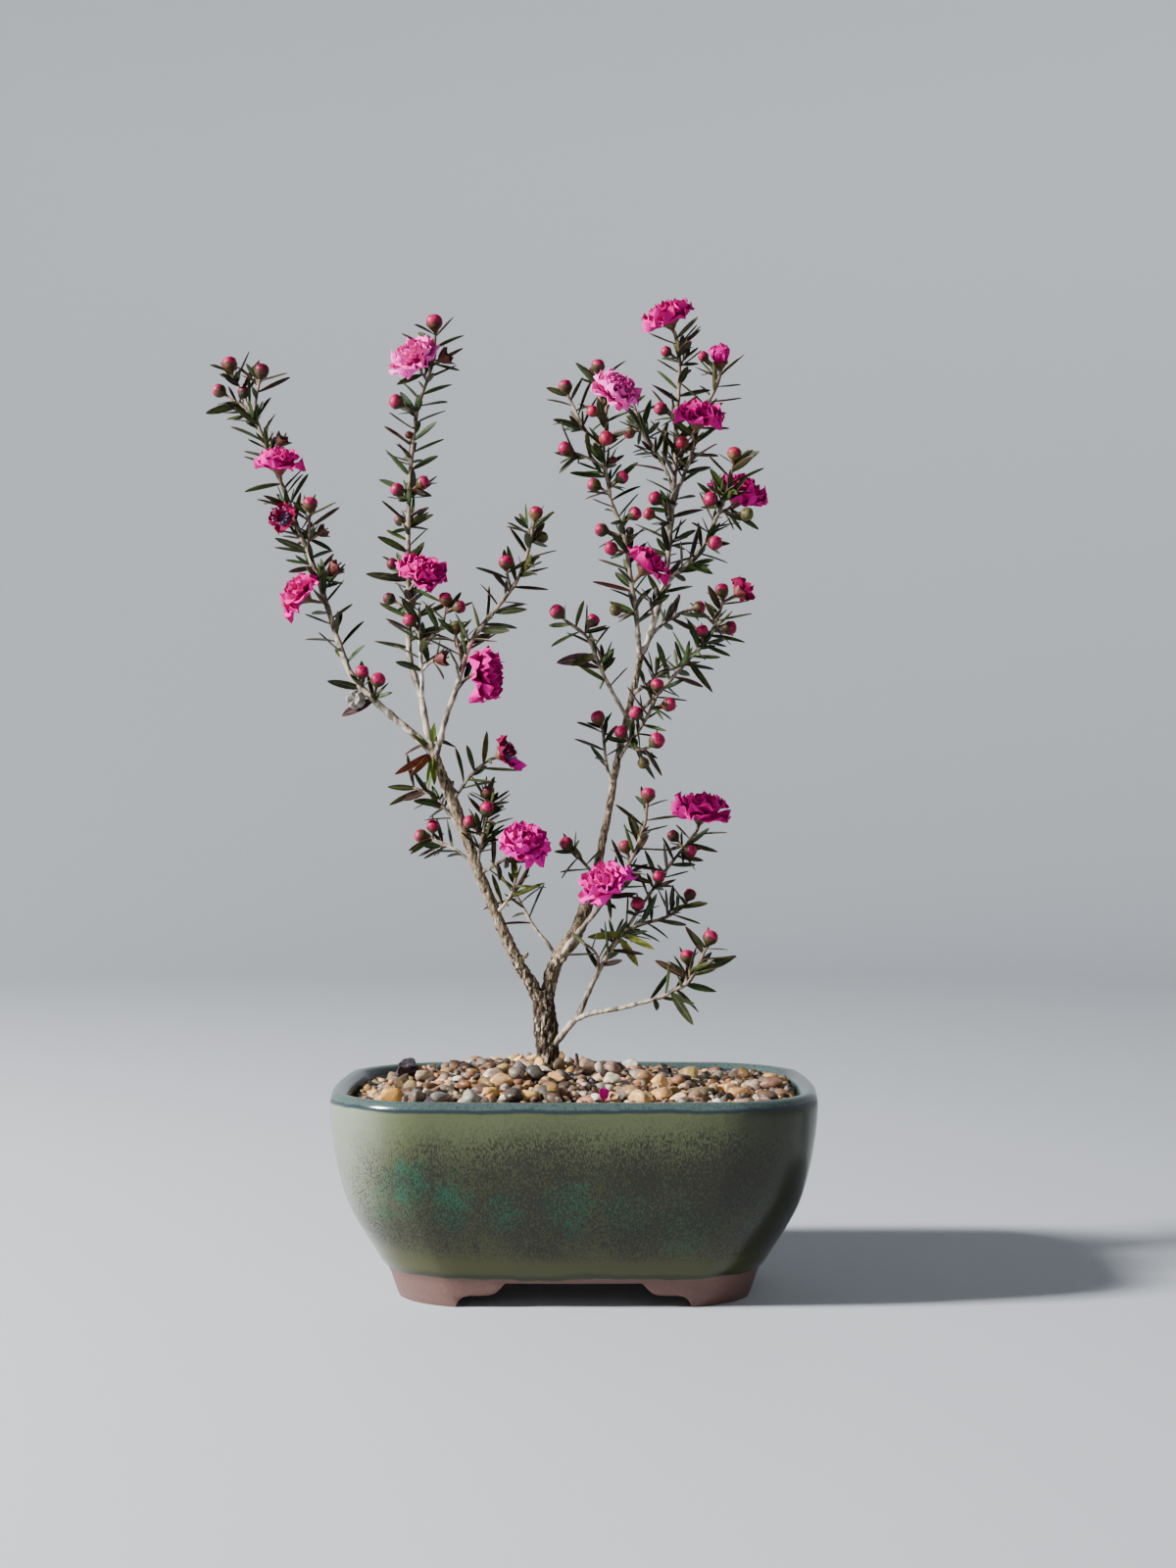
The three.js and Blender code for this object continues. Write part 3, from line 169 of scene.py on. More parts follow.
STEMS = (
    Stem("far_left_stem", 1.3, 0.5, 0.3, ((-44.3, -4, 166.7), (-49, -3.5, 171.8), (-56.3, -3, 178),
        (-64.8, -1, 185.5), (-70.6, 1, 192), (-74.6, 2, 202), (-79.1, 3, 216), (-83.5, 5, 229),
        (-88, 7, 239.5), (-92.2, 9, 251.3), (-97.6, 11, 263.3), (-102, 12.5, 275), (-107, 13.5, 279)),
        twigs=(((-84.6, 5.5, 232), (-84.3, 3.5, 238), (-84.2, 2.5, 243.5)), ((-103.3, 13, 276.5),
        (-106, 14, 283), (-109, 14, 288)), ((-102, 12.5, 275), (-101, 11, 281), (-100, 10, 286))),
        buds=(Bud(-109.5, 14, 291, 5.2), Bud(-99.5, 9.5, 288.5, 5, DARK), Bud(-112.5, 15, 282.5, 4.8),
        Bud(-84, 2, 246.5, 5), Bud(-67.5, -4, 193, 4.6), Bud(-62.5, -5, 190.5, 5),
        Bud(-105, 13, 282, 4, DARK)), cups=(Bud(-93, 9, 267, 4.6), Bud(-76, 3, 226.5, 5),
        Bud(-80, 6, 238, 4))),
    Stem("tall_left_stem", 1.2, 0.5, 0.25, ((-44.8, -4, 167.8), (-46.4, -4, 173), (-47.4, -4, 178),
        (-48.8, -3.5, 186), (-52.2, -3, 197), (-52.5, -2, 211), (-52.8, -1, 228), (-52.7, 1, 246),
        (-51.8, 2, 260.5), (-49.8, 3, 277), (-45.5, 3, 290), (-44.2, 3, 300)), twigs=(((-46.8, 3, 286),
        (-47.8, 1, 287.5), (-48.6, -1.5, 288.3)), ((-52.7, -1.4, 219), (-51.6, -3, 220.6),
        (-50.6, -4.6, 221.6))), buds=(Bud(-44.5, 2, 304, 5.6), Bud(-56.3, 0, 279, 5),
        Bud(-48.5, 0, 253.3, 4.6), Bud(-56, -1, 251, 4.6), Bud(-57.5, -3, 227.5, 4, DARK),
        Bud(-58.5, 0, 216.5, 4.2, DARK), Bud(-55.3, 3, 241.3, 3.8), Bud(-52.6, 2, 268.5, 2.6, DARK)),
        cups=(Bud(-41, 2, 293.5, 5),)),
    Stem("short_left_stem", 0.75, 0.5, 0.3, ((-48.6, -3.6, 185), (-48.4, -6.4, 190), (-48.7, -8, 196),
        (-49.2, -9, 205), (-49.4, -9.5, 214)), twigs=(((-48.8, -8.4, 199), (-45, -9.5, 205),
        (-42, -10.5, 208.4), (-41, -11, 213)), ((-48.6, -7.6, 194), (-46, -9.5, 196.4),
        (-44.6, -10.5, 197))), buds=(Bud(-41, -11, 216.3, 4.4), Bud(-37, -11, 214, 4.4),
        Bud(-52, -11, 209.5, 4.6)), cups=(Bud(-42, -11, 197.6, 4.6),)),
    Stem("inner_left_stem", 1.05, 0.5, 0.35, ((-44.2, -4, 166.5), (-42.8, -6.5, 171), (-40.7, -8, 179.3),
        (-37.6, -9.5, 187.8), (-34.9, -11, 197.1), (-31.8, -13, 204.8), (-24.5, -15.5, 213.9),
        (-17.8, -18, 223.3), (-14.1, -20.5, 234), (-13.1, -22, 240)), twigs=(((-37.8, -9.5, 187.3),
        (-34.9, -11.4, 190.8), (-33.2, -12.6, 191.9)), ((-20.4, -17, 219.2), (-21, -18.5, 223),
        (-21.6, -19.5, 225)), ((-35.4, -11, 195.5), (-37, -10.8, 201), (-37.6, -10.5, 204.5))),
        buds=(Bud(-12.4, -22.4, 243.5, 4.6, TAN), Bud(-10.6, -18.5, 236, 4, GREEN),
        Bud(-21.8, -20, 228, 4.8), Bud(-37.7, -10.5, 207.6, 3.8, GREEN))),
    Stem("left_spent_twig", 0.6, 0.45, 0.2, ((-39, -4, 152.5), (-36.9, -6, 155), (-34.5, -8, 158.5),
        (-31, -10, 162.5), (-26.8, -12, 165.6))),
    Stem("left_bud_twig", 0.6, 0.45, 0.25, ((-30.6, -3, 130.5), (-30.2, -6, 136), (-29.3, -8, 141),
        (-27.9, -9.5, 146.5)), twigs=(((-29.4, -7.8, 140.6), (-28.4, -6.4, 147), (-27.7, -6.4, 152)),),
        buds=(Bud(-27.8, -10.5, 149.5, 4.8), Bud(-33, -8, 145.5, 4.4), Bud(-27.5, -6.4, 155, 4, DARK))),
    Stem("left_outer_twig", 0.6, 0.45, 0.3, ((-31.6, -3, 133), (-34.5, -1, 134.5), (-38, 1, 137),
        (-41.5, 2.5, 138.8), (-45, 4, 140.4)), buds=(Bud(-48.3, 5, 141.2, 4.6), Bud(-45, 2, 144, 4.4))),
    Stem("left_bloom_twig", 0.6, 0.5, 0.3, ((-30, -3, 129.5), (-27, -5, 131), (-24, -7, 132.8),
        (-20.4, -9, 134.8))),
    Stem("left_side_twig", 0.6, 0.45, 0.25, ((-35.4, -3.6, 143.5), (-38.5, -1, 146.5), (-41.5, 1, 150.5),
        (-45, 3, 154), (-52, 5, 157))),
    Stem("bare_twig", 0.6, 0.45, 0.55, ((-5.5, 1, 102.5), (-8, 4, 106.5), (-12.5, 7, 112), (-16, 9, 118),
        (-19.5, 11, 124.5))),
    Stem("green_shoot", 0.55, 0.45, 0.25, ((-25, -2.4, 117), (-22.6, -4.6, 119), (-20, -6, 123),
        (-18.5, -7, 128))),
    Stem("right_bud_twig", 0.6, 0.45, 0.3, ((6.6, 2.4, 128.5), (4.5, 0, 131), (2.5, -1.5, 133.3),
        (0.3, -3, 135.8)), buds=(Bud(-2.3, -4, 138.6, 4.6),)),
    Stem("twin_stem", 0.9, 0.5, 0.4, ((-5, 0.5, 101.5), (-1.6, -2.4, 107), (4, -5, 114), (8.5, -7, 119.5),
        (13, -9.5, 127), (17, -11, 132), (20, -12.5, 138), (22.5, -13.5, 146), (23, -14, 150)),
        twigs=(((9.6, -7.6, 121), (10.4, -9.6, 121.8), (11, -11.4, 122.4)),),
        buds=(Bud(16.2, -10, 137.5, 4.4), Bud(23.4, -14.5, 154, 4.8))),
    Stem("lower_right_stem", 1.15, 0.5, 0.45, ((-8.3, 0, 72.5), (-5.2, -2.8, 76.5), (-2, -4.8, 80.5),
        (1.2, -5.5, 84.5), (5, -5.5, 93), (7.5, -5, 98), (11, -3.5, 104), (15.5, -1.5, 110.3),
        (22, 1, 113.5), (28, 3.4, 115), (35, 7, 119)), twigs=(((14.6, -2, 109), (18, 0, 114),
        (20.5, 2, 118), (24, 5, 123), (28, 8, 129), (31, 10, 133), (35, 13, 138), (38.8, 15.6, 142.8)),
        ((7.3, -5, 97.5), (7.6, -6.4, 102), (6, -7.6, 105), (3, -8.6, 107))), buds=(Bud(20, -3, 119.4, 4.8),
        Bud(26.6, 2, 128, 4.2), Bud(36.5, 8, 122.3, 4.2, DARK), Bud(36.6, 10, 136.5, 4.2),
        Bud(31.6, 14, 141, 4.2, DARK))),
    Stem("low_stem", 0.8, 0.5, 0.5, ((0.4, -5.4, 83), (5, -8, 84.8), (10, -10.5, 85.8), (15, -12.5, 86.6),
        (20, -15, 88), (28, -18.5, 90.3), (32, -20, 92.5), (36, -21.5, 94.5), (38.5, -22.5, 98.5),
        (41.5, -24, 105)), twigs=(((35, -21.2, 94), (35.6, -20.6, 97), (35.8, -20.4, 99.6)),),
        buds=(Bud(43, -24.4, 108.6, 5), Bud(35.8, -20.4, 102.6, 4.6))),
    Stem("right_shoot", 0.6, 0.45, 0.3, ((12.3, 4, 158.5), (10.5, 1.5, 162.5), (9.8, 0, 167), (9, -1, 175)),
        buds=(Bud(7.6, -1.5, 178.5, 4.8),)),
    Stem("left_going_stem", 0.7, 0.5, 0.3, ((17, 4.5, 178.5), (14, 1.5, 183.5), (11.5, -1.5, 188),
        (9, -5, 193), (6.5, -9, 199), (4, -12.5, 204.5), (-2.6, -15.5, 209.6)),
        buds=(Bud(-5.2, -16.5, 212.2, 5), Bud(5.6, -13, 209.4, 4.4))),
    Stem("bud_cluster_stem", 0.65, 0.5, 0.2, ((14.2, 4, 166), (16.5, -1, 169.5), (19.4, -5, 173.4),
        (23, -8.5, 179), (26, -11, 185.5)), twigs=(((16.8, -1.5, 169.9), (20.4, -5, 168.6),
        (23.4, -7.5, 169.4)),), buds=(Bud(15, -5.5, 174, 4.4), Bud(19.8, -9.5, 180, 4.6),
        Bud(25.8, -9, 171.3, 5.4), Bud(29.6, -11.4, 183, 4.8), Bud(26.3, -12, 188.8, 4.4),
        Bud(21.8, -4, 164.8, 4, GREEN))),
    Stem("right_tuft_stem", 0.6, 0.45, 0.3, ((18.7, 4.8, 186.5), (21.5, 2, 188.4), (25, -1, 190.8),
        (30, -4, 195.2))),
    Stem("right_stem", 0.75, 0.5, 0.25, ((15.6, 4.2, 174), (20, 8, 180), (27, 12, 187), (35, 16, 196),
        (41, 19, 202.5), (45, 21, 209), (47, 22, 215.6)), buds=(Bud(40.6, 15.6, 206, 4.4),
        Bud(49, 20, 207.4, 4.8), Bud(46.8, 22, 219, 4.8))),
    Stem("inner_top_stem", 0.95, 0.5, 0.12, ((21, 5, 198.5), (20.2, 2.4, 204), (19.6, 0, 212),
        (18.3, -3, 220), (17, -5, 230), (14.9, -7, 240), (11.6, -8, 247.5), (10.9, -8.5, 252),
        (9.3, -10, 262), (9.5, -11, 270), (10.2, -12, 278)), twigs=(((9.2, -10.1, 263), (7, -8.6, 266),
        (3, -6.6, 271), (0, -5, 277), (-1.7, -4, 280.6)), ((9.9, -9.4, 257.6), (6, -11.4, 260.6),
        (3, -13, 261.9), (0, -14, 262.7)), ((9.9, -11.7, 275), (8, -10.5, 281), (7.6, -10, 287)),
        ((18.2, -3.2, 220.6), (19.4, -4.2, 222.8), (20.2, -4.6, 224))), buds=(Bud(-2.8, -3.6, 283.6, 4.8),
        Bud(-2.6, -15, 264.2, 4.6), Bud(13.4, -3, 213, 4.2, GREEN), Bud(12, -8.4, 232.5, 4.6),
        Bud(9, -6, 238.4, 4.6), Bud(18.8, -9.4, 243.4, 4.6), Bud(6.6, -7, 252.6, 4.6),
        Bud(14.8, -10, 255, 4.4), Bud(10, -15, 267.5, 4.8, TAN), Bud(7.5, -10, 290.2, 4.6),
        Bud(6, -14.5, 276, 4, TAN), Bud(12, -10, 260.5, 2.8, DARK), Bud(17.5, -4, 238, 2.8, DARK))),
    Stem("tall_right_stem", 1.08, 0.55, 0.15, ((21.2, 5, 199), (23.6, 5.6, 204), (25.4, 5.5, 210),
        (28, 6, 219.5), (29.7, 7, 230), (31, 8, 245), (32, 9.5, 258), (32.2, 11, 270), (33.2, 12.5, 284),
        (33, 14, 296), (31.8, 14.3, 301.4)), twigs=(((25.2, 5.5, 209), (24.6, 2.6, 213), (24, 1, 217)),),
        buds=(Bud(26, 5, 248.2, 4.8), Bud(27.8, 9.6, 276.8, 4.6), Bud(24, 5, 243.4, 4.2, TAN),
        Bud(29.4, 12, 295, 3.8))),
    Stem("top_left_fork", 0.6, 0.45, 0.2, ((31.4, 8.4, 250.5), (29.5, 10.4, 256.5), (25.5, 13, 264),
        (21, 16, 271.5), (19, 18, 278)), buds=(Bud(17.8, 17, 269.4, 4, TAN), Bud(18.6, 18.4, 281, 4.2))),
    Stem("top_right_fork", 0.7, 0.5, 0.15, ((31.3, 8.3, 248), (34, 7.6, 254), (37.2, 7.6, 262.5),
        (39.6, 8.6, 272), (42.5, 10, 279), (45.5, 11, 285), (46.4, 11.4, 289)), twigs=(((36.6, 7.6, 260),
        (37.6, 4.6, 265), (37.5, 2, 269.4)),), buds=(Bud(34.6, 3, 266, 4.4, TAN),
        Bud(41.2, 9, 293.4, 3.6))),
    Stem("right_short_stem", 0.6, 0.45, 0.3, ((24.2, 5.6, 205), (28, 8, 208.5), (31.5, 10, 211),
        (36, 12.5, 213)), buds=(Bud(39.2, 13.6, 213.8, 4.4),)),
    Stem("outer_right_stem", 0.75, 0.5, 0.15, ((27.8, 6, 218.5), (30.5, 3, 223), (36, -1.5, 228),
        (41.5, -5, 234), (44.5, -7.5, 241), (48, -10.5, 249), (50.3, -14, 259)), twigs=(((46, -8.8, 244.3),
        (48.4, -6, 245), (50, -3.4, 245.4)),), buds=(Bud(44.4, -10.5, 234.4, 4.8),
        Bud(43.6, -12.5, 248, 4.8), Bud(54.4, -12, 243.6, 4.4, GREEN), Bud(50.7, -14.5, 262.4, 4.6, TAN),
        Bud(47, -9, 251.5, 3, GREEN))),
)

BLOOMS = (
    Bloom("tall_left_stem", (-51, -5.4, 293.5), (-0.42, -0.62, 0.66), 16.5, Hue.PALE),
    Bloom("far_left_stem", (-94, 3.4, 260.3), (-0.05, -0.2, 1), 15.5),
    Bloom("far_left_stem", (-93, 1.4, 242.6), (-0.3, -1, 0.2), 10, Hue.FADED, Form.SPENT),
    Bloom("far_left_stem", (-87.6, 0.6, 218.4), (-0.75, -0.3, 0.5), 16),
    Bloom("tall_left_stem", (-48.6, -8.2, 225.2), (0.25, -0.48, 0.84), 17),
    Bloom("inner_left_stem", (-28.4, -14, 192.4), (1, -0.3, 0.05), 18),
    Bloom("left_spent_twig", (-21, -13, 168.2), (0.85, -0.35, 0.4), 11, Hue.FADED, Form.SPENT),
    Bloom("left_bloom_twig", (-16.2, -12.6, 139), (0.2, -0.62, 0.75), 17, Hue.ROSY),
    Bloom("tall_right_stem", (29.6, 13.2, 306.4), (-0.38, -0.25, 0.92), 17.5),
    Bloom("top_right_fork", (46.2, 11.2, 294), (-0.1, -0.4, 1), 9, Hue.HOT, Form.HALF),
    Bloom("inner_top_stem", (13.4, -15, 283), (0.45, -0.6, 0.65), 16, Hue.PALE),
    Bloom("top_right_fork", (39.6, -1.6, 274.6), (0.2, -0.3, 0.95), 17),
    Bloom("outer_right_stem", (52.2, -2.4, 250), (0.3, -0.3, 0.9), 19),
    Bloom("inner_top_stem", (23.4, -7, 228), (0.55, -0.1, 0.83), 15.5, Hue.DEEP),
    Bloom("right_stem", (54, 31, 220), (0.7, 0.4, 0.6), 10.5, Hue.FADED, Form.SPENT),
    Bloom("lower_right_stem", (40, 16.2, 149.2), (0.1, -0.15, 1), 20),
    Bloom("twin_stem", (9.4, -15.6, 126.4), (-0.42, -0.5, 0.75), 17.5, Hue.ROSY),
)


def draw(count: float, salt: float) -> float:
    """A number between 0 and 1 that is the same each run, for a count and a kind of draw."""
    wave = math.sin(count * 12.9898 + salt * 78.233) * 43758.5453
    return wave - math.floor(wave)


def seen(noted: Sequence[float]) -> Vector:
    """The point of the plant that a noted point stands for."""
    reach = 1 - noted[1] / EYE.y
    return Vector((EYE.x + (noted[0] - EYE.x) * reach, noted[1], EYE.z + (noted[2] - EYE.z) * reach))


def mixed(one: Colour, other: Colour, share: float) -> Colour:
    """The colour a share of the way from one to the other."""
    return tuple(a + (b - a) * share for a, b in zip(one, other))


def lobe(at: Vector, turn: float = 0.0) -> float:
    """How near a point stands to the middle of one of five lobes, from 0 to 1."""
    return max(0.0, math.cos(5 * math.atan2(at.y, at.x) + turn))


def widened(at: Vector, share: float, rise: float = 0.0) -> Vector:
    """The point that is so much further from the z axis, and raised."""
    return Vector((at.x * share, at.y * share, at.z + rise))


def framed(middle: Vector, x: Vector, y: Vector, z: Vector) -> Matrix:
    """The place of a body whose middle and axes are moved to these."""
    return Matrix.Translation(middle) @ Matrix((x, y, z)).transposed().to_4x4()


def directed(foot: Vector, direction: Vector) -> Matrix:
    """The place of a body drawn along +z that stands at a point and points along a direction."""
    return Matrix.Translation(foot) @ direction.to_track_quat("Z", "Y").to_matrix().to_4x4()


def leaning(heading: Vector, out: Vector, lean: float) -> Vector:
    """The direction that leans out from a heading by an angle."""
    return (heading * math.cos(lean) + out * math.sin(lean)).normalized()


def placed(name: str, data: bpy.types.ID) -> bpy.types.Object:
    """Puts a mesh, lamp or camera into the scene.

    Args:
        name: What to call it.
        data: The mesh, lamp or camera.

    Returns:
        Its object.
    """
    held = bpy.data.objects.new(name, data)
    bpy.context.scene.collection.objects.link(held)
    return held


def curve_point(points: Sequence[Vector], share: float) -> Vector:
    """Finds a point of a centripetal spline between the second and third of its four points.

    Args:
        points: The four points.
        share: How far along the stretch, from 0 to 1.

    Returns:
        The point.
    """
    knots = [0.0]
    for near, far in zip(points, points[1:]):
        knots.append(knots[-1] + max((far - near).length, 1e-6) ** 0.5)
    at = knots[1] + (knots[2] - knots[1]) * share
    for span in (1, 2):
        pairs = zip(points, points[1:], knots, knots[span:])
        points = [(near * (end - at) + far * (at - start)) / (end - start) for near, far, start, end in pairs]
    return (points[0] * (knots[2] - at) + points[1] * (at - knots[1])) / (knots[2] - knots[1])


class Path:
    """A smooth line through points, stepped evenly."""

    PARTS = 12

    def __init__(self, points: Sequence[Vector], step: float) -> None:
        """Steps along the line.

        Args:
            points: What the line passes through.
            step: About how far apart its own points are.
        """
        ends = [points[0] * 2 - points[1], *points, points[-1] * 2 - points[-2]]
        fine = [points[0]]
        for i in range(len(points) - 1):
            stretch = ends[i : i + 4]
            fine += [curve_point(stretch, (part + 1) / self.PARTS) for part in range(self.PARTS)]
        reach = [0.0]
        for near, far in zip(fine, fine[1:]):
            reach.append(reach[-1] + (far - near).length)
        self.length = reach[-1]
        self.points = []
        count = max(2, round(self.length / step))
        index = 0
        for k in range(count + 1):
            goal = self.length * k / count
            while index < len(fine) - 2 and reach[index + 1] < goal:
                index += 1
            part = (goal - reach[index]) / max(reach[index + 1] - reach[index], 1e-9)
            self.points.append(fine[index].lerp(fine[index + 1], min(1.0, part)))

    def place(self, distance: float) -> tuple[Vector, Vector]:
        """Finds a place along the line.

        Args:
            distance: How far from its start.

        Returns:
            The point and the direction there.
        """
        spot = min(max(distance / self.length, 0.0), 1.0) * (len(self.points) - 1)
        index = min(int(spot), len(self.points) - 2)
        near, far = self.points[index], self.points[index + 1]
        return near.lerp(far, spot - index), (far - near).normalized()

    def nearest(self, point: Vector) -> Vector:
        """The point of the line that is closest to a point."""
        return min(self.points, key=lambda one: (one - point).length_squared)


class Body:
    """A mesh in the making, whose points carry a tint and a place on their blade."""

    def __init__(self) -> None:
        """Starts it empty."""
        self.bm = bmesh.new()
        self.bm.verts.layers.float_color.new("tint")
        self.bm.verts.layers.float_vector.new("blade")

    def coloured(self, verts: Iterable[BMVert], colour: Colour) -> None:
        """Gives points a tint."""
        for vert in verts:
            vert[self.bm.verts.layers.float_color["tint"]] = (*colour, 1.0)

    def faced(self, faces: Sequence[BMFace], material: int) -> None:
        """Gives faces a material and turns them outwards.

        Args:
            faces: The faces of a closed shape.
            material: The number of their material.
        """
        for face in faces:
            face.material_index = material
        bmesh.ops.recalc_face_normals(self.bm, faces=faces)

    def drawn_out(
        self, verts: list[BMVert], rings: int, put: Callable[[int, list[BMVert]], None], material: int
    ) -> None:
        """Extrudes a ring of points along a row of rings and closes both of its ends.

        Args:
            verts: The first ring, in its place.
            rings: How many rings there are.
            put: Puts the points of a new ring, by its number, in their places.
            material: The material of the faces.
        """
        edges = list(dict.fromkeys(edge for vert in verts for edge in vert.link_edges))
        faces = bmesh.ops.edgeloop_fill(self.bm, edges=edges)["faces"]
        for i in range(1, rings):
            made = bmesh.ops.extrude_edge_only(self.bm, edges=edges)["geom"]
            verts = [one for one in made if isinstance(one, BMVert)]
            faces += [one for one in made if isinstance(one, BMFace)]
            ring = set(verts)
            edges = [one for one in made if isinstance(one, BMEdge) and set(one.verts) <= ring]
            put(i, verts)
        faces += bmesh.ops.edgeloop_fill(self.bm, edges=edges)["faces"]
        self.faced(faces, material)

    def sweep(
        self, centres: Sequence[Vector], radii: Sequence[float], sides: int, tints: tuple[Colour, Colour],
        material: int = 0,
    ) -> None:
        """Draws a circle along a line.

        Args:
            centres: The circle's middles.
            radii: Its radius at each.
            sides: How many sides it has.
            tints: The tint at the start and at the end.
            material: The material of its faces.
        """
        heading = (centres[1] - centres[0]).normalized()
        side = heading.cross(ASKEW).normalized()
        frames = []
        for i, centre in enumerate(centres):
            heading = (centres[min(i + 1, len(centres) - 1)] - centres[max(i - 1, 0)]).normalized()
            side = (side - heading * side.dot(heading)).normalized()
            frames.append(framed(centre, side * radii[i], heading.cross(side) * radii[i], heading))

        def put(i: int, verts: list[BMVert]) -> None:
            """Moves a ring on to its own frame.

            Args:
                i: The number of the ring.
                verts: Its points.
            """
            bmesh.ops.transform(self.bm, matrix=frames[i] @ frames[i - 1].inverted(), verts=verts)
            self.coloured(verts, mixed(*tints, i / (len(frames) - 1)))

        verts = bmesh.ops.create_circle(self.bm, segments=sides, radius=1, matrix=frames[0])["verts"]
        self.coloured(verts, tints[0])
        self.drawn_out(verts, len(frames), put, material)

    def lofted(self, rings: Sequence[Sequence[Vector]], material: int = 0) -> None:
        """Draws an outline through a row of rings.

        Args:
            rings: The rings, of as many points each.
            material: The material of its faces.
        """

        def put(i: int, verts: list[BMVert]) -> None:
            """Moves each point from its place on the ring before to its own ring.

            Args:
                i: The number of the ring.
                verts: Its points.
            """
            goals = {one.to_tuple(4): goal for one, goal in zip(rings[i - 1], rings[i])}
            for vert in verts:
                vert.co = goals[vert.co.to_tuple(4)]

        verts = bmesh.ops.create_circle(self.bm, segments=len(rings[0]), radius=1)["verts"]
        for vert, point in zip(sorted(verts, key=lambda one: math.atan2(one.co.y, one.co.x)), rings[0]):
            vert.co = point
        self.drawn_out(verts, len(rings), put, material)

    def turned(self, profile: Profile, steps: int, material: int = 0) -> list[BMVert]:
        """Turns a profile about the z axis into a closed shape.

        Args:
            profile: Radius and height of each point, beginning and ending on the axis.
            steps: How many steps the turn has.
            material: The material of its faces.

        Returns:
            The shape's points.
        """
        known = set(self.bm.verts)
        line = [self.bm.verts.new((radius, 0, height)) for radius, height in profile]
        line += [self.bm.edges.new(pair) for pair in zip(line, line[1:])]
        turn = {"cent": (0, 0, 0), "axis": (0, 0, 1), "angle": math.tau}
        bmesh.ops.spin(self.bm, geom=line, steps=steps, use_merge=True, **turn)
        bmesh.ops.remove_doubles(self.bm, verts=[one for one in self.bm.verts if one not in known], dist=WELD)
        verts = [vert for vert in self.bm.verts if vert not in known]
        self.faced(list(dict.fromkeys(face for vert in verts for face in vert.link_faces)), material)
        return verts

    def kept(self, name: str) -> Mesh:
        """Turns the body into a mesh.

        Args:
            name: What to call the mesh.

        Returns:
            The mesh.
        """
        mesh = bpy.data.meshes.new(name)
        self.bm.to_mesh(mesh)
        self.bm.free()
        return mesh

    def stamp(self, stamp: Mesh, matrix: Matrix, tints: dict[int, Colour]) -> None:
        """Sets down a copy of a small mesh.

        Args:
            stamp: The small mesh.
            matrix: The copy's place, turn and size.
            tints: The tint of the faces of each material, by its number.
        """
        one = stamp.copy()
        one.transform(matrix)
        colours = [[*next(iter(tints.values())), 1.0]] * len(one.vertices)
        if len(tints) > 1:
            for polygon in one.polygons:
                for vertex in polygon.vertices:
                    colours[vertex] = [*tints[polygon.material_index], 1.0]
        one.attributes["tint"].data.foreach_set("color", [part for colour in colours for part in colour])
        self.bm.from_mesh(one)
        bpy.data.meshes.remove(one)

    def modify(self, kind: str, **settings: object) -> None:
        """Runs one modifier on the body.

        Args:
            kind: The modifier's type.
            **settings: The modifier's values.
        """
        held = placed("worked", self.kept("worked"))
        modifier = held.modifiers.new("work", kind)
        for name, value in settings.items():
            setattr(modifier, name, value)
        graph = bpy.context.evaluated_depsgraph_get()
        self.bm = bmesh.new()
        self.bm.from_mesh(bpy.data.meshes.new_from_object(held.evaluated_get(graph)))
        bpy.data.objects.remove(held)

    def shown(self, name: str, node: str, slot: Slot, smooth: float, materials: Sequence[Material]) -> None:
        """Moves the body to the row frame and shows it there.

        Args:
            name: The piece's name.
            node: The CAD node that it stands for.
            slot: Its slot; not used.
            smooth: The angle from which its edges stay sharp, in degrees.
            materials: Its materials, in the order of its faces' numbers.
        """
        mesh = self.kept(name)
        mesh.transform(ROW_FRAME)
        mesh.shade_smooth()
        mesh.set_sharp_from_angle(angle=math.radians(smooth))
        for material in materials:
            mesh.materials.append(material)
        piece = placed(name, mesh)
        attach(piece, "root")
        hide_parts(node)
        LOG.info("%s stands for %s with %d faces", name, node, len(mesh.polygons))


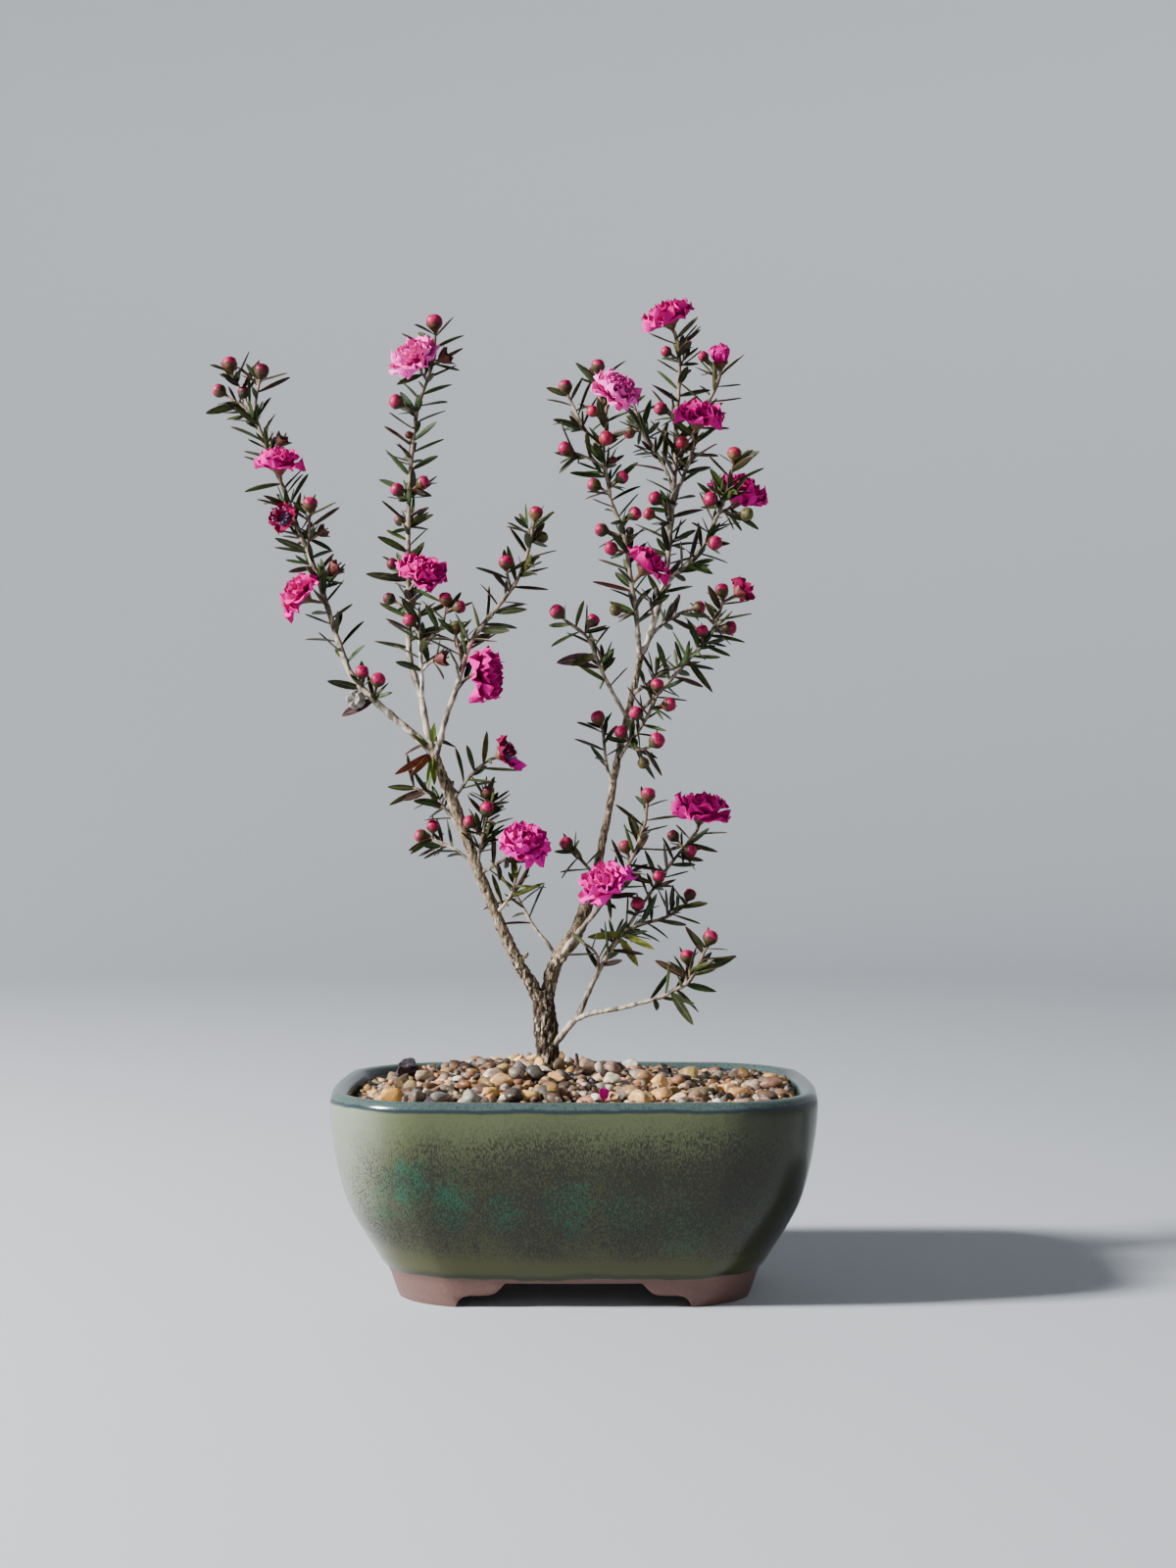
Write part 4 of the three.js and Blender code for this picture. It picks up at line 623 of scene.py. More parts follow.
class Wire:
    """An output of one of a material's nodes, on which sums can be done."""

    def __init__(self, shader: "Shader", socket: Socket) -> None:
        """Holds the output and the material that it belongs to."""
        self.shader, self.socket = shader, socket

    def sum(self, kind: str, other: "Wire | float" = 0.0) -> "Wire":
        """The outcome of a sum, such as MULTIPLY, with another value."""
        return self.shader.node("Math", "Value", {0: self, 1: other}, operation=kind)

    def __add__(self, other: "Wire | float") -> "Wire":
        """This and another value together."""
        return self.sum("ADD", other)

    def __sub__(self, other: "Wire | float") -> "Wire":
        """This less another value."""
        return self.sum("SUBTRACT", other)

    def __mul__(self, other: "Wire | float") -> "Wire":
        """This times another value."""
        return self.sum("MULTIPLY", other)

    def __truediv__(self, other: "Wire | float") -> "Wire":
        """This divided by another value."""
        return self.sum("DIVIDE", other)

    def __abs__(self) -> "Wire":
        """This without its sign."""
        return self.sum("ABSOLUTE")

    def axis(self, name: str) -> "Wire":
        """One axis of coordinates."""
        return self.shader.node("SeparateXYZ", name, {0: self})

    def noise(self, size: float, detail: float = 3, rough: float = 0.55) -> "Wire":
        """Noise about 0.5 at these coordinates, with blotches of a size and finer layers."""
        inputs = {"Vector": self, "Scale": 1 / size, "Detail": detail, "Roughness": rough}
        return self.shader.node("TexNoise", "Fac", inputs)

    def ramp(self, low: float, high: float, out_low: float = 0, out_high: float = 1) -> "Wire":
        """This with one range of values mapped smoothly to another, and held at its ends."""
        inputs = dict(enumerate((self, low, high, out_low, out_high)))
        return self.shader.node("MapRange", "Result", inputs, interpolation_type="SMOOTHSTEP")

    def blend(self, one: "Wire | Colour", other: "Wire | Colour") -> "Wire":
        """Two colours mixed, with this as the share of the other."""
        return self.shader.node("Mix", 2, {0: self, 6: one, 7: other}, data_type="RGBA")

    def shaded(self, by: Colour) -> "Wire":
        """This colour times another."""
        return self.shader.node("Mix", 2, {0: 1.0, 6: self, 7: by}, data_type="RGBA", blend_type="MULTIPLY")


class Shader:
    """One procedural material: a Principled shader and the nodes that feed it."""

    def __init__(self, name: str, **constants: float) -> None:
        """Begins the material.

        Args:
            name: Its name.
            **constants: Values of the shader's own sockets, with _ for a space.
        """
        self.material = bpy.data.materials.new(name)
        self.material.use_nodes = True
        self.tree = self.material.node_tree
        self.surface = self.tree.nodes["Principled BSDF"]
        for socket, value in constants.items():
            self.surface.inputs[socket.replace("_", " ")].default_value = value

    def feed(self, socket: Socket, value: object) -> None:
        """Sets or links a socket.

        Args:
            socket: The socket that takes it.
            value: A wire to link, or a number or colour to set.
        """
        if isinstance(value, Wire):
            self.tree.links.new(value.socket, socket)
        else:
            socket.default_value = (*value, 1.0) if socket.type == "RGBA" else value

    def node(self, kind: str, output: str | int, inputs: dict[str | int, object], **values: object) -> Wire:
        """Adds a node and feeds it.

        Args:
            kind: Its type.
            output: Which of its outputs is wanted.
            inputs: What its sockets take.
            **values: Its properties.

        Returns:
            The output.
        """
        made = self.tree.nodes.new("ShaderNode" + kind)
        for name, value in values.items():
            setattr(made, name, value)
        for socket, value in inputs.items():
            self.feed(made.inputs[socket], value)
        return Wire(self, made.outputs[output])

    def millimetres(self, stretch: Point = (1, 1, 1)) -> Wire:
        """The object's own coordinates in millimetres, stretched."""
        inputs = {"Scale": [part / MM for part in stretch], "Vector": self.node("TexCoord", "Object", {})}
        return self.node("Mapping", "Vector", inputs)

    def attribute(self, name: str, output: str = "Color") -> Wire:
        """An output of one of the mesh's attributes."""
        return self.node("Attribute", output, {}, attribute_name=name)

    def bump(self, height: Wire, depth: float, strength: float) -> None:
        """Makes relief from a height of 0 to 1, so deep and shown so strongly."""
        inputs = {"Height": height, "Distance": depth * MM, "Strength": strength}
        self.feed(self.surface.inputs["Normal"], self.node("Bump", "Normal", inputs))

    def done(self, colour: Wire | Colour, roughness: Wire | float) -> Material:
        """Feeds the last two sockets.

        Args:
            colour: The base colour.
            roughness: The roughness.

        Returns:
            The material.
        """
        self.feed(self.surface.inputs["Base Color"], colour)
        self.feed(self.surface.inputs["Roughness"], roughness)
        return self.material


@dataclass(frozen=True)
class Glaze:
    """Mottled stoneware glaze over a pinkish clay foot."""

    upper: Colour = (0.066, 0.079, 0.034)
    middle: Colour = (0.031, 0.035, 0.012)
    # Painted light: a pale sheen for the left end and shade for the right end, both towards the front.
    left_end_painted_sheen: Colour = (0.160, 0.178, 0.130)
    right_end_painted_shade: Colour = (0.012, 0.014, 0.005)
    lower: Colour = (0.048, 0.049, 0.015)
    speckle: Colour = (0.012, 0.010, 0.006)
    emerald: Colour = (0.003, 0.070, 0.034)
    rim: Colour = (0.052, 0.078, 0.070)
    line: Colour = (0.008, 0.016, 0.024)
    pool: Colour = (0.018, 0.022, 0.009)
    clay: Colour = (0.122, 0.065, 0.052)
    grit: Colour = (0.0968, 0.0500, 0.0412)
    # Each emerald patch: its middle across the pot, its height, its reach and its strength.
    patches: tuple[tuple[float, float, float, float], ...] = (
        (-48.9, 40.2, 7.0, 0.95), (-35.7, 32.7, 7.0, 0.95), (-20.3, 31.3, 6.0, 0.8),
        (-2.1, 31.9, 9.0, 0.75), (15.9, 30.4, 8.0, 0.5), (32.3, 25.5, 9.0, 0.4),
    )

    def emeralds(self, where: Wire, across: Wire, z: Wire) -> Wire:
        """Places the emerald patches, with ragged edges.

        Args:
            where: Coordinates in millimetres.
            across: How far to the right of the pot's middle.
            z: The height.

        Returns:
            How strong they are.
        """
        ragged = (where.noise(5, 3, 0.6) - 0.5) * 2.6
        total = where.noise(13, 2).ramp(0.48, 0.62, 0, 0.35) * (z.ramp(22, 29) * z.ramp(47, 36))
        for middle, height, reach, strength in self.patches:
            flat, tall = (across - middle) / reach, (z - height) / (reach * 1.15)
            total = total.sum("MAXIMUM", (flat * flat + tall * tall + ragged).ramp(1.25, 0.1, 0, strength))
        return total

    def wall(self, shader: Shader, where: Wire, across: Wire, grains: Wire) -> Wire:
        """Colours the wall below the rim, painting a sheen on the left end's front and shade on the right
        end's.

        Args:
            shader: The material.
            where: Coordinates in millimetres.
            across: How far to the right of the pot's middle.
            grains: Where the dark speckles are.

        Returns:
            The colour.
        """
        z, front = where.axis("Z"), where.axis("Y").ramp(-16, -36)
        drips = shader.millimetres((1, 1, 0.4)).noise(2.2, 5, 0.7)
        colour = z.ramp(40, 57).blend(z.ramp(12, 27).blend(self.lower, self.middle), self.upper)
        # Painted sheen on the front of the left end and painted shade on the front of the right end.
        colour = (across.ramp(-53, -69, 0, 0.85) * front).blend(colour, self.left_end_painted_sheen)
        colour = (across.ramp(32, 66, 0, 0.85) * front).blend(colour, self.right_end_painted_shade)
        emeralds = self.emeralds(where, across, z) * drips.ramp(0.30, 0.60, 0.3, 1)
        colour = emeralds.blend(colour, self.emerald)
        runs = drips.ramp(0.56, 0.66) * z.ramp(13, 20) * z.ramp(38, 26, 0, 0.8) * abs(across).ramp(70, 50)
        return grains.blend(runs.blend(colour, self.speckle), self.speckle)

    def make(self) -> Material:
        """Makes the material.

        Returns:
            The material.
        """
        shader = Shader("mottled_glaze", Coat_Weight=0.28, Coat_Roughness=0.14, Specular_IOR_Level=0.2)
        where = shader.millimetres()
        across, z = where.axis("X") - ROW_FRAME.translation.x / MM, where.axis("Z")
        fine = shader.millimetres((1, 1, 0.5)).noise(0.46, 4, 0.66)
        thick = z.ramp(11, 25) * z.ramp(60, 36, 0.12, 1) * abs(across).ramp(74, 48, 0.3, 1)
        thick = thick * across.ramp(-60, 30, 0.58, 1.06)
        level = fine + where.noise(18) * 0.30 + thick * 0.09
        grains = level.ramp(0.675, 0.725) * thick.ramp(0, 0.35) * 0.9
        colour = z.ramp(60.6, 61.6).blend(self.wall(shader, where, across, grains), self.rim)
        colour = (fine.ramp(0.50, 0.60) * z.ramp(60.7, 62) * 0.65).blend(colour, self.line)
        wavy = z + where.noise(9) * 1.6
        colour = (wavy.ramp(61.0, 61.6) * wavy.ramp(62.8, 62.1) * 0.85).blend(colour, self.line)
        edge = z + where.noise(16, 2) * 3.0
        colour = (edge.ramp(10.4, 11.0) * edge.ramp(13.0, 11.4) * 0.85).blend(colour, self.pool)
        bare = edge.ramp(10.7, 10.3)
        colour = bare.blend(colour, fine.ramp(0.35, 0.65).blend(self.clay, self.grit))
        shader.bump(fine + grains * -0.6, 0.10, 0.3)
        return shader.done(colour, grains * 0.14 + 0.14 + bare * 0.7)


@dataclass(frozen=True)
class TintFinish:
    """A finish whose colour is the mesh's own tint, with blotches, grain and relief."""

    name: str
    rough: float
    blotch: float
    grain: float
    darker: float
    relief: float
    stretch: Point = (1, 1, 1)
    subsurface: float = 0.0
    gloss: float = 0.15

    def make(self) -> Material:
        """Makes the material.

        Returns:
            The material.
        """
        sockets = {"Subsurface_Weight": self.subsurface, "Specular_IOR_Level": self.gloss}
        shader = Shader(self.name, Subsurface_Scale=MM, **sockets)
        where, tint = shader.millimetres(self.stretch), shader.attribute("tint")
        grains, blotches = where.noise(self.grain, 3, 0.6), where.noise(self.blotch, 4, 0.6)
        colour = blotches.ramp(0.38, 0.62).blend(tint.shaded((self.darker,) * 3), tint)
        colour = grains.ramp(0.56, 0.72).blend(colour, colour.shaded((1.25, 1.22, 1.18)))
        shader.bump(grains, self.relief, 0.7)
        return shader.done(colour, grains.ramp(0.3, 0.7, self.rough - 0.1, self.rough + 0.1))


@dataclass(frozen=True)
class Bark:
    """Flaking trunk bark: dark at the base, tan higher up, with pale loose plates."""

    base: Colour = (0.058, 0.040, 0.026)
    high: Colour = (0.205, 0.148, 0.090)
    pale: Colour = (0.560, 0.468, 0.330)
    crack: Colour = (0.016, 0.011, 0.008)

    def make(self) -> Material:
        """Makes the material.

        Returns:
            The material.
        """
        shader = Shader("flaking_bark", Specular_IOR_Level=0.12)
        z = shader.millimetres().axis("Z")
        fibres = shader.millimetres((1, 1, 0.2)).noise(0.7, 5, 0.68)
        plates = shader.millimetres((1, 1, 0.38)).noise(1.3, 5, 0.65)
        flakes = plates.ramp(0.53, 0.58)
        colour = z.ramp(86, 104).blend(self.base, self.high)
        colour = (flakes * z.ramp(84, 112, 0.62, 0.6)).blend(colour, self.pale)
        colour = plates.ramp(0.47, 0.39).blend(colour, colour.shaded((0.26, 0.23, 0.20)))
        colour = fibres.ramp(0.48, 0.41).blend(colour, self.crack)
        shader.bump(fibres + flakes, 0.45, 1.0)
        return shader.done(colour, plates.ramp(0.3, 0.7, 0.75, 0.95))


@dataclass(frozen=True)
class LeafFinish:
    """A small stiff leaf: its own tint, a paler keel, a flushed edge and a waxy sheen."""

    flush: Colour = (0.085, 0.020, 0.022)
    keel: Colour = (0.095, 0.140, 0.050)

    def make(self) -> Material:
        """Makes the material.

        Returns:
            The material.
        """
        shader = Shader("waxy_leaf", Specular_IOR_Level=0.14)
        blade, where = shader.attribute("blade", "Vector"), shader.millimetres()
        middle = abs(blade.axis("X"))
        colour = shader.attribute("tint").shaded((0.52, 0.48, 0.37))
        colour = where.noise(2.5).ramp(0.4, 0.6).blend(colour.shaded((0.52, 0.55, 0.44)), colour)
        colour = (middle.ramp(0.40, 0.5) * 0.45).blend(colour, self.flush)
        colour = (blade.axis("Y").ramp(0.82, 1.0) * 0.3).blend(colour, self.flush)
        colour = (middle.ramp(0.07, 0.0) * 0.6).blend(colour, self.keel)
        shader.bump(middle.ramp(0.0, 0.12), 0.12, 0.6)
        return shader.done(colour, where.noise(1.2, 2).ramp(0.3, 0.7, 0.34, 0.5))


@dataclass(frozen=True)
class PetalFinish:
    """A thin petal: deep at its foot, its own tint further out, finely veined."""

    foot: Colour = (0.68, 0.25, 0.56)

    def make(self) -> Material:
        """Makes the material.

        Returns:
            The material.
        """
        shader = Shader("satin_petal", Subsurface_Weight=0.05, Subsurface_Scale=MM, Specular_IOR_Level=0.04)
        blade, tint = shader.attribute("blade", "Vector"), shader.attribute("tint")
        inputs = {"Vector": blade, "Scale": 3.2, "Distortion": 1.5}
        veins = shader.node("TexWave", "Fac", inputs, wave_type="BANDS", bands_direction="X")
        deep = tint.shaded(self.foot)
        colour = (veins * 0.22).blend(blade.axis("Y").ramp(0.05, 0.55).blend(deep, tint), deep)
        colour = shader.millimetres().noise(1.6).ramp(0.62, 0.42, 0, 0.25).blend(colour, deep)
        shader.bump(veins, 0.08, 0.5)
        return shader.done(colour, blade.axis("X").ramp(0, 0.5, 0.55, 0.62))


@dataclass(frozen=True)
class Crumb:
    """A crumbly dark finish for the potting mix and the plastic screens."""

    name: str
    dark: Colour
    light: Colour
    size: float
    rough: float

    def make(self) -> Material:
        """Makes the material.

        Returns:
            The material.
        """
        shader = Shader(self.name)
        where = shader.millimetres()
        grains = where.noise(self.size / 4, 4)
        lumps = shader.node("TexVoronoi", "Distance", {"Vector": where, "Scale": 1 / self.size})
        shader.bump(lumps + grains * 0.5, self.size / 4, 0.8)
        return shader.done(grains.ramp(0.4, 0.65).blend(self.dark, self.light), self.rough)


FINISHES = {
    "glaze": Glaze(),
    "bark": Bark(),
    "leaf": LeafFinish(),
    "petal": PetalFinish(),
    "stone": TintFinish("worn_stone", 0.42, 1.8, 0.6, 0.62, 0.14, gloss=0.26),
    "grit": TintFinish("fine_grit", 0.9, 1.5, 0.5, 0.5, 0.3),
    "twig": TintFinish("thin_bark", 0.8, 2.4, 0.6, 0.17, 0.25, (1, 1, 0.5)),
    "bud": TintFinish("folded_bud", 0.46, 1.3, 0.5, 0.42, 0.12, subsurface=0.05, gloss=0.26),
    "calyx": TintFinish("leathery_calyx", 0.48, 1.4, 0.5, 0.5, 0.1, gloss=0.2),
    "heart": TintFinish("dark_heart", 0.5, 0.8, 0.3, 0.6, 0.1),
    "capsule": TintFinish("grey_wood", 0.85, 1.0, 0.4, 0.5, 0.2),
    "mix": Crumb("potting_mix", (0.012, 0.009, 0.007), (0.075, 0.050, 0.033), 2.4, 0.95),
    "mesh": Crumb("moulded_mesh", (0.012, 0.012, 0.012), (0.022, 0.022, 0.022), 1.2, 0.55),
}


def blade_stamp(
    rows: Profile, columns: int, thickness: float, material: int,
    shape: Callable[[float, float, float], Point],
) -> Mesh:
    """Makes a thin blade along +y.

    Args:
        rows: How far along each row of its points is, and half its width there.
        columns: How many columns of faces it has.
        thickness: How thick it is.
        material: The material of its faces.
        shape: Places a point, by its share across and along and half the width there.

    Returns:
        The blade, of length and width 1.
    """
    body = Body()
    blade = body.bm.verts.layers.float_vector["blade"]
    bmesh.ops.create_grid(body.bm, x_segments=columns, y_segments=len(rows) - 1, size=0.5)
    for vert in body.bm.verts:
        across, (along, half) = vert.co.x * 2, rows[round((vert.co.y + 0.5) * (len(rows) - 1))]
        vert[blade] = (across / 2, along, 0)
        vert.co = shape(across, along, half)
    bmesh.ops.solidify(body.bm, geom=body.bm.faces, thickness=thickness)
    body.faced(body.bm.faces, material)
    return body.kept("blade")


def petal_stamp(wide: float, cup: float, salt: int, material: int = 0) -> Mesh:
    """Makes a petal: narrow at its foot, broad, cupped and ruffled towards its edge.

    Args:
        wide: How broad its shoulders are, as a share of its width.
        cup: How far its edge curls up, as a share of its length.
        salt: The number of its shape.
        material: The material of its faces.

    Returns:
        The petal, of length and width 1.
    """

    def shape(across: float, along: float, half: float) -> Point:
        """Places a point.

        Args:
            across: Its share across, from -1 to 1.
            along: Its share along.
            half: Half the width there.

        Returns:
            The point.
        """
        ruffle = noise.noise(Vector((across * 1.7, along * 2.0, salt * 5.1)))
        wave = 0.15 * math.sin(across * 5.2 + salt * 2.1) * along**2
        notch = 0.07 * math.cos(across * 5 + salt) if along == 1 else 0
        return (
            across * half * (wide if 0.2 < along < 0.95 else 1),
            along * (1 - 0.09 * across**2) + notch,
            cup * along**2 + 0.13 * across**2 * along + wave + 0.34 * ruffle * along,
        )

    rows = ((0, 0.12), (0.25, 0.38), (0.5, 0.46), (0.74, 0.5), (0.92, 0.42), (1.0, 0.24))
    return blade_stamp(rows, 4, 0.03, material, shape)


def leaf_stamp(lift: float, twist: float) -> Mesh:
    """Makes a lance-shaped leaf, folded along its keel.

    Args:
        lift: How far its tip is bent up, as a share of its length.
        twist: How far it is twisted over its length, in radians.

    Returns:
        The leaf, of length and width 1.
    """

    def shape(across: float, along: float, half: float) -> Point:
        """Places a point."""
        rise = abs(across) * half * 0.036 + lift * along**2 + across * half * 0.1 * math.sin(twist * along)
        return across * half / 2 * math.cos(twist * along), along, rise

    rows = (
        (0, 0.2), (0.1, 0.52), (0.25, 0.86), (0.44, 1), (0.64, 0.94), (0.82, 0.68), (0.94, 0.34), (1, 0.04),
    )
    return blade_stamp(rows, 2, 0.022, 1, shape)


def bud_stamp() -> Mesh:
    """Makes a bud that stands on its stalk: five sepals on a cup, hugging a ball of folded petals.

    Returns:
        The bud, of size 1.
    """
    body = Body()
    cup = (
        (0, 0), (0.09, 0), (0.15, 0.08), (0.28, 0.2), (0.41, 0.34), (0.475, 0.46), (0.48, 0.56), (0.42, 0.55),
        (0, 0.4),
    )
    for vert in body.turned(cup, 15, 2):
        if vert.co.z > 0.5:
            vert.co = widened(vert.co, 1 - 0.02 * lobe(vert.co), 0.15 * lobe(vert.co))
    ball = ((0, 0.35), (0.36, 0.4), (0.45, 0.54), (0.465, 0.72), (0.40, 0.9), (0.22, 1.02), (0, 1.05))
    for vert in body.turned(ball, 12, 3):
        vert.co = widened(vert.co, 1 + 0.06 * math.cos(3 * math.atan2(vert.co.y, vert.co.x) + 6 * vert.co.z))
    return body.kept("bud")


def cup_stamp() -> Mesh:
    """Makes the calyx left by a fallen flower: an open cup with five sepals and a style.

    Returns:
        The calyx, of size 1.
    """
    body = Body()
    cup = ((0, 0), (0.12, 0), (0.3, 0.14), (0.47, 0.4), (0.56, 0.66), (0.5, 0.66), (0.38, 0.46), (0, 0.4))
    for vert in body.turned(cup, 15, 2):
        if vert.co.z > 0.6:
            vert.co *= 1 + 0.28 * lobe(vert.co)
    body.turned(((0, 0.4), (0.07, 0.41), (0.05, 0.95), (0.09, 1.0), (0, 1.04)), 6, 2)
    return body.kept("cup")


@dataclass(frozen=True)
class Outline:
    """The pot or its hollow seen from above: bowed sides and round corners."""

    half_width: float
    half_depth: float
    corner: float
    bow: float = 1.6
    pull: float = 0.25

    def quarter(self) -> list[tuple[float, float]]:
        """Draws a quarter of the outline, from the middle of the front to the middle of the right side.

        Returns:
            Its points.
        """
        wide, deep = self.half_width - self.bow, self.half_depth - self.bow
        corner, pull = self.corner, self.corner * self.pull
        points = [(i / 9 * (wide - corner), -self.half_depth + self.bow * (i / 9) ** 2) for i in range(9)]
        for i in range(13):
            share = i / 12
            start, bend, end = (1 - share) ** 2, 2 * share * (1 - share), share**2
            points.append((
                start * (wide - corner) + bend * (wide - pull) + end * wide,
                -(start * deep + bend * (deep - pull) + end * (deep - corner)),
            ))
        for i in range(1, 7):
            share = 1 - i / 6
            points.append((self.half_width - self.bow * share**2, -share * (deep - corner)))
        return points

    def ring(self, half: float, height: float) -> list[Vector]:
        """Draws the whole outline at a height.

        Args:
            half: Its half-width there.
            height: The height.

        Returns:
            Its points, once round.
        """
        quarter, share = self.quarter(), half / self.half_width
        right = quarter[:-1] + [(x, -y) for x, y in reversed(quarter)][:-1]
        return [Vector((x * share, y * share, height)) for x, y in right + [(-x, -y) for x, y in right]]

    def holds(self, x: float, y: float, margin: float) -> bool:
        """Tests whether a point lies inside the outline.

        Args:
            x: How far to the right it is.
            y: How far to the back it is.
            margin: How far inside it has to be.

        Returns:
            Whether it does.
        """
        wide, deep = self.half_width - margin - 1, self.half_depth - margin - 1
        across = max(0.0, abs(x) - wide + self.corner) / self.corner
        along = max(0.0, abs(y) - deep + self.corner) / self.corner
        return abs(x) < wide and abs(y) < deep and across**1.48 + along**1.48 < 1


OUTER = Outline(76, 58, 25)
HOLLOW = Outline(70, 52.6, 20)


@dataclass
class Pot:
    """The glazed pot, on four cloud-cut clay feet."""

    # The wall and the hollow: half the width at each height. The gap: half its width likewise.
    outer: Profile = (
        (55, 0), (55.9, 2.5), (57.2, 6.4), (57.8, 8.3), (58.6, 9.4), (59.9, 10.9), (62.3, 15), (66.6, 22),
        (70.6, 30), (73.5, 40), (75.4, 51), (76, 57.5), (76.1, 60.2), (75.8, 61.9), (75.1, 63), (74, 63.5),
    )
    inner: Profile = (
        (71.9, 63.4), (70.9, 62.8), (70.2, 61.7), (69.3, 58), (66.2, 36), (60.6, 22), (57.5, 16), (54.5, 13),
    )
    gap: Profile = (
        (36.6, -1), (35.7, 0.2), (34.8, 2), (33.4, 3.2), (31.5, 3.7), (28, 3.75), (25.4, 3.9), (23.6, 4.6),
        (22.2, 5.8), (21, 7.3), (20.4, 7.7),
    )
    side_shift: float = 12
    base: float = 7.5
    foot_inner: tuple[float, float] = (42, 30)
    drain_x: float = 30
    drain_radius: float = 6.5
    soft_edge: float = 0.45
    recess_corner: float = 6
    wall_step: float = 1.9
    # The edges that are softened: those below this height that turn by more than this angle.
    soft_below: float = 9
    soft_angle: float = 0.7

    def gap_cutter(self, shift: float, turn: float) -> Body:
        """Makes the body of the gap between two feet.

        Args:
            shift: How much narrower half of it is than the gap at the front.
            turn: How far it is turned from that, in radians.

        Returns:
            The body.
        """
        body = Body()
        outline = [(shift - x, z) for x, z in self.gap] + [(x - shift, z) for x, z in reversed(self.gap)]
        face = body.bm.faces.new([body.bm.verts.new((x, -100, z)) for x, z in outline])
        made = bmesh.ops.extrude_face_region(body.bm, geom=[face])["geom"]
        bmesh.ops.translate(body.bm, vec=(0, 200, 0), verts=[one for one in made if isinstance(one, BMVert)])
        bmesh.ops.rotate(body.bm, matrix=Matrix.Rotation(turn, 3, "Z"), verts=body.bm.verts)
        body.faced(body.bm.faces, 0)
        return body

    def cutters(self) -> list[Body]:
        """Makes what is cut out of the pot: the recess, the gaps between the feet and the drain holes.

        Returns:
            The bodies.
        """
        recess = Body()
        bmesh.ops.create_cube(recess.bm, size=2)
        bmesh.ops.scale(recess.bm, vec=(*self.foot_inner, self.base), verts=recess.bm.verts)
        vertical = [edge for edge in recess.bm.edges if abs(edge.verts[0].co.z - edge.verts[1].co.z) > 1]
        bmesh.ops.bevel(
            recess.bm, geom=vertical, offset=self.recess_corner, offset_type="OFFSET", segments=4,
            profile=0.5, affect="EDGES", material=-1,
        )
        cutters = [recess, self.gap_cutter(0, 0), self.gap_cutter(self.side_shift, math.pi / 2)]
        for side in (-1, 1):
            cutters.append(Body())
            bmesh.ops.create_cone(
                cutters[-1].bm, cap_ends=True, segments=32, radius1=self.drain_radius,
                radius2=self.drain_radius, depth=20, matrix=Matrix.Translation((side * self.drain_x, 0, 10)),
            )
        return cutters

    def build(self, glaze: Material) -> None:
        """Makes the pot.

        Args:
            glaze: Its finish.
        """
        body = Body()
        wall = Path([Vector((half, 0, height)) for half, height in self.outer], self.wall_step).points
        rings = [OUTER.ring(one.x, one.z) for one in wall]
        body.lofted(rings + [HOLLOW.ring(half, height) for half, height in self.inner])
        for cutter in self.cutters():
            held = placed("cutter", cutter.kept("cutter"))
            body.modify("BOOLEAN", operation="DIFFERENCE", solver="EXACT", object=held)
            bpy.data.objects.remove(held)
        low = [
            edge
            for edge in body.bm.edges
            if max(vert.co.z for vert in edge.verts) < self.soft_below and len(edge.link_faces) == 2
            and edge.calc_face_angle() > self.soft_angle and edge.calc_length() > 0.2
        ]
        bmesh.ops.bevel(
            body.bm, geom=low, offset=self.soft_edge, offset_type="OFFSET", segments=2, profile=0.5,
            affect="EDGES", material=-1, clamp_overlap=True,
        )
        bmesh.ops.remove_doubles(body.bm, verts=body.bm.verts, dist=WELD)
        body.shown("footed_pot", "pot", Slot.GLAZE, 50, [glaze])


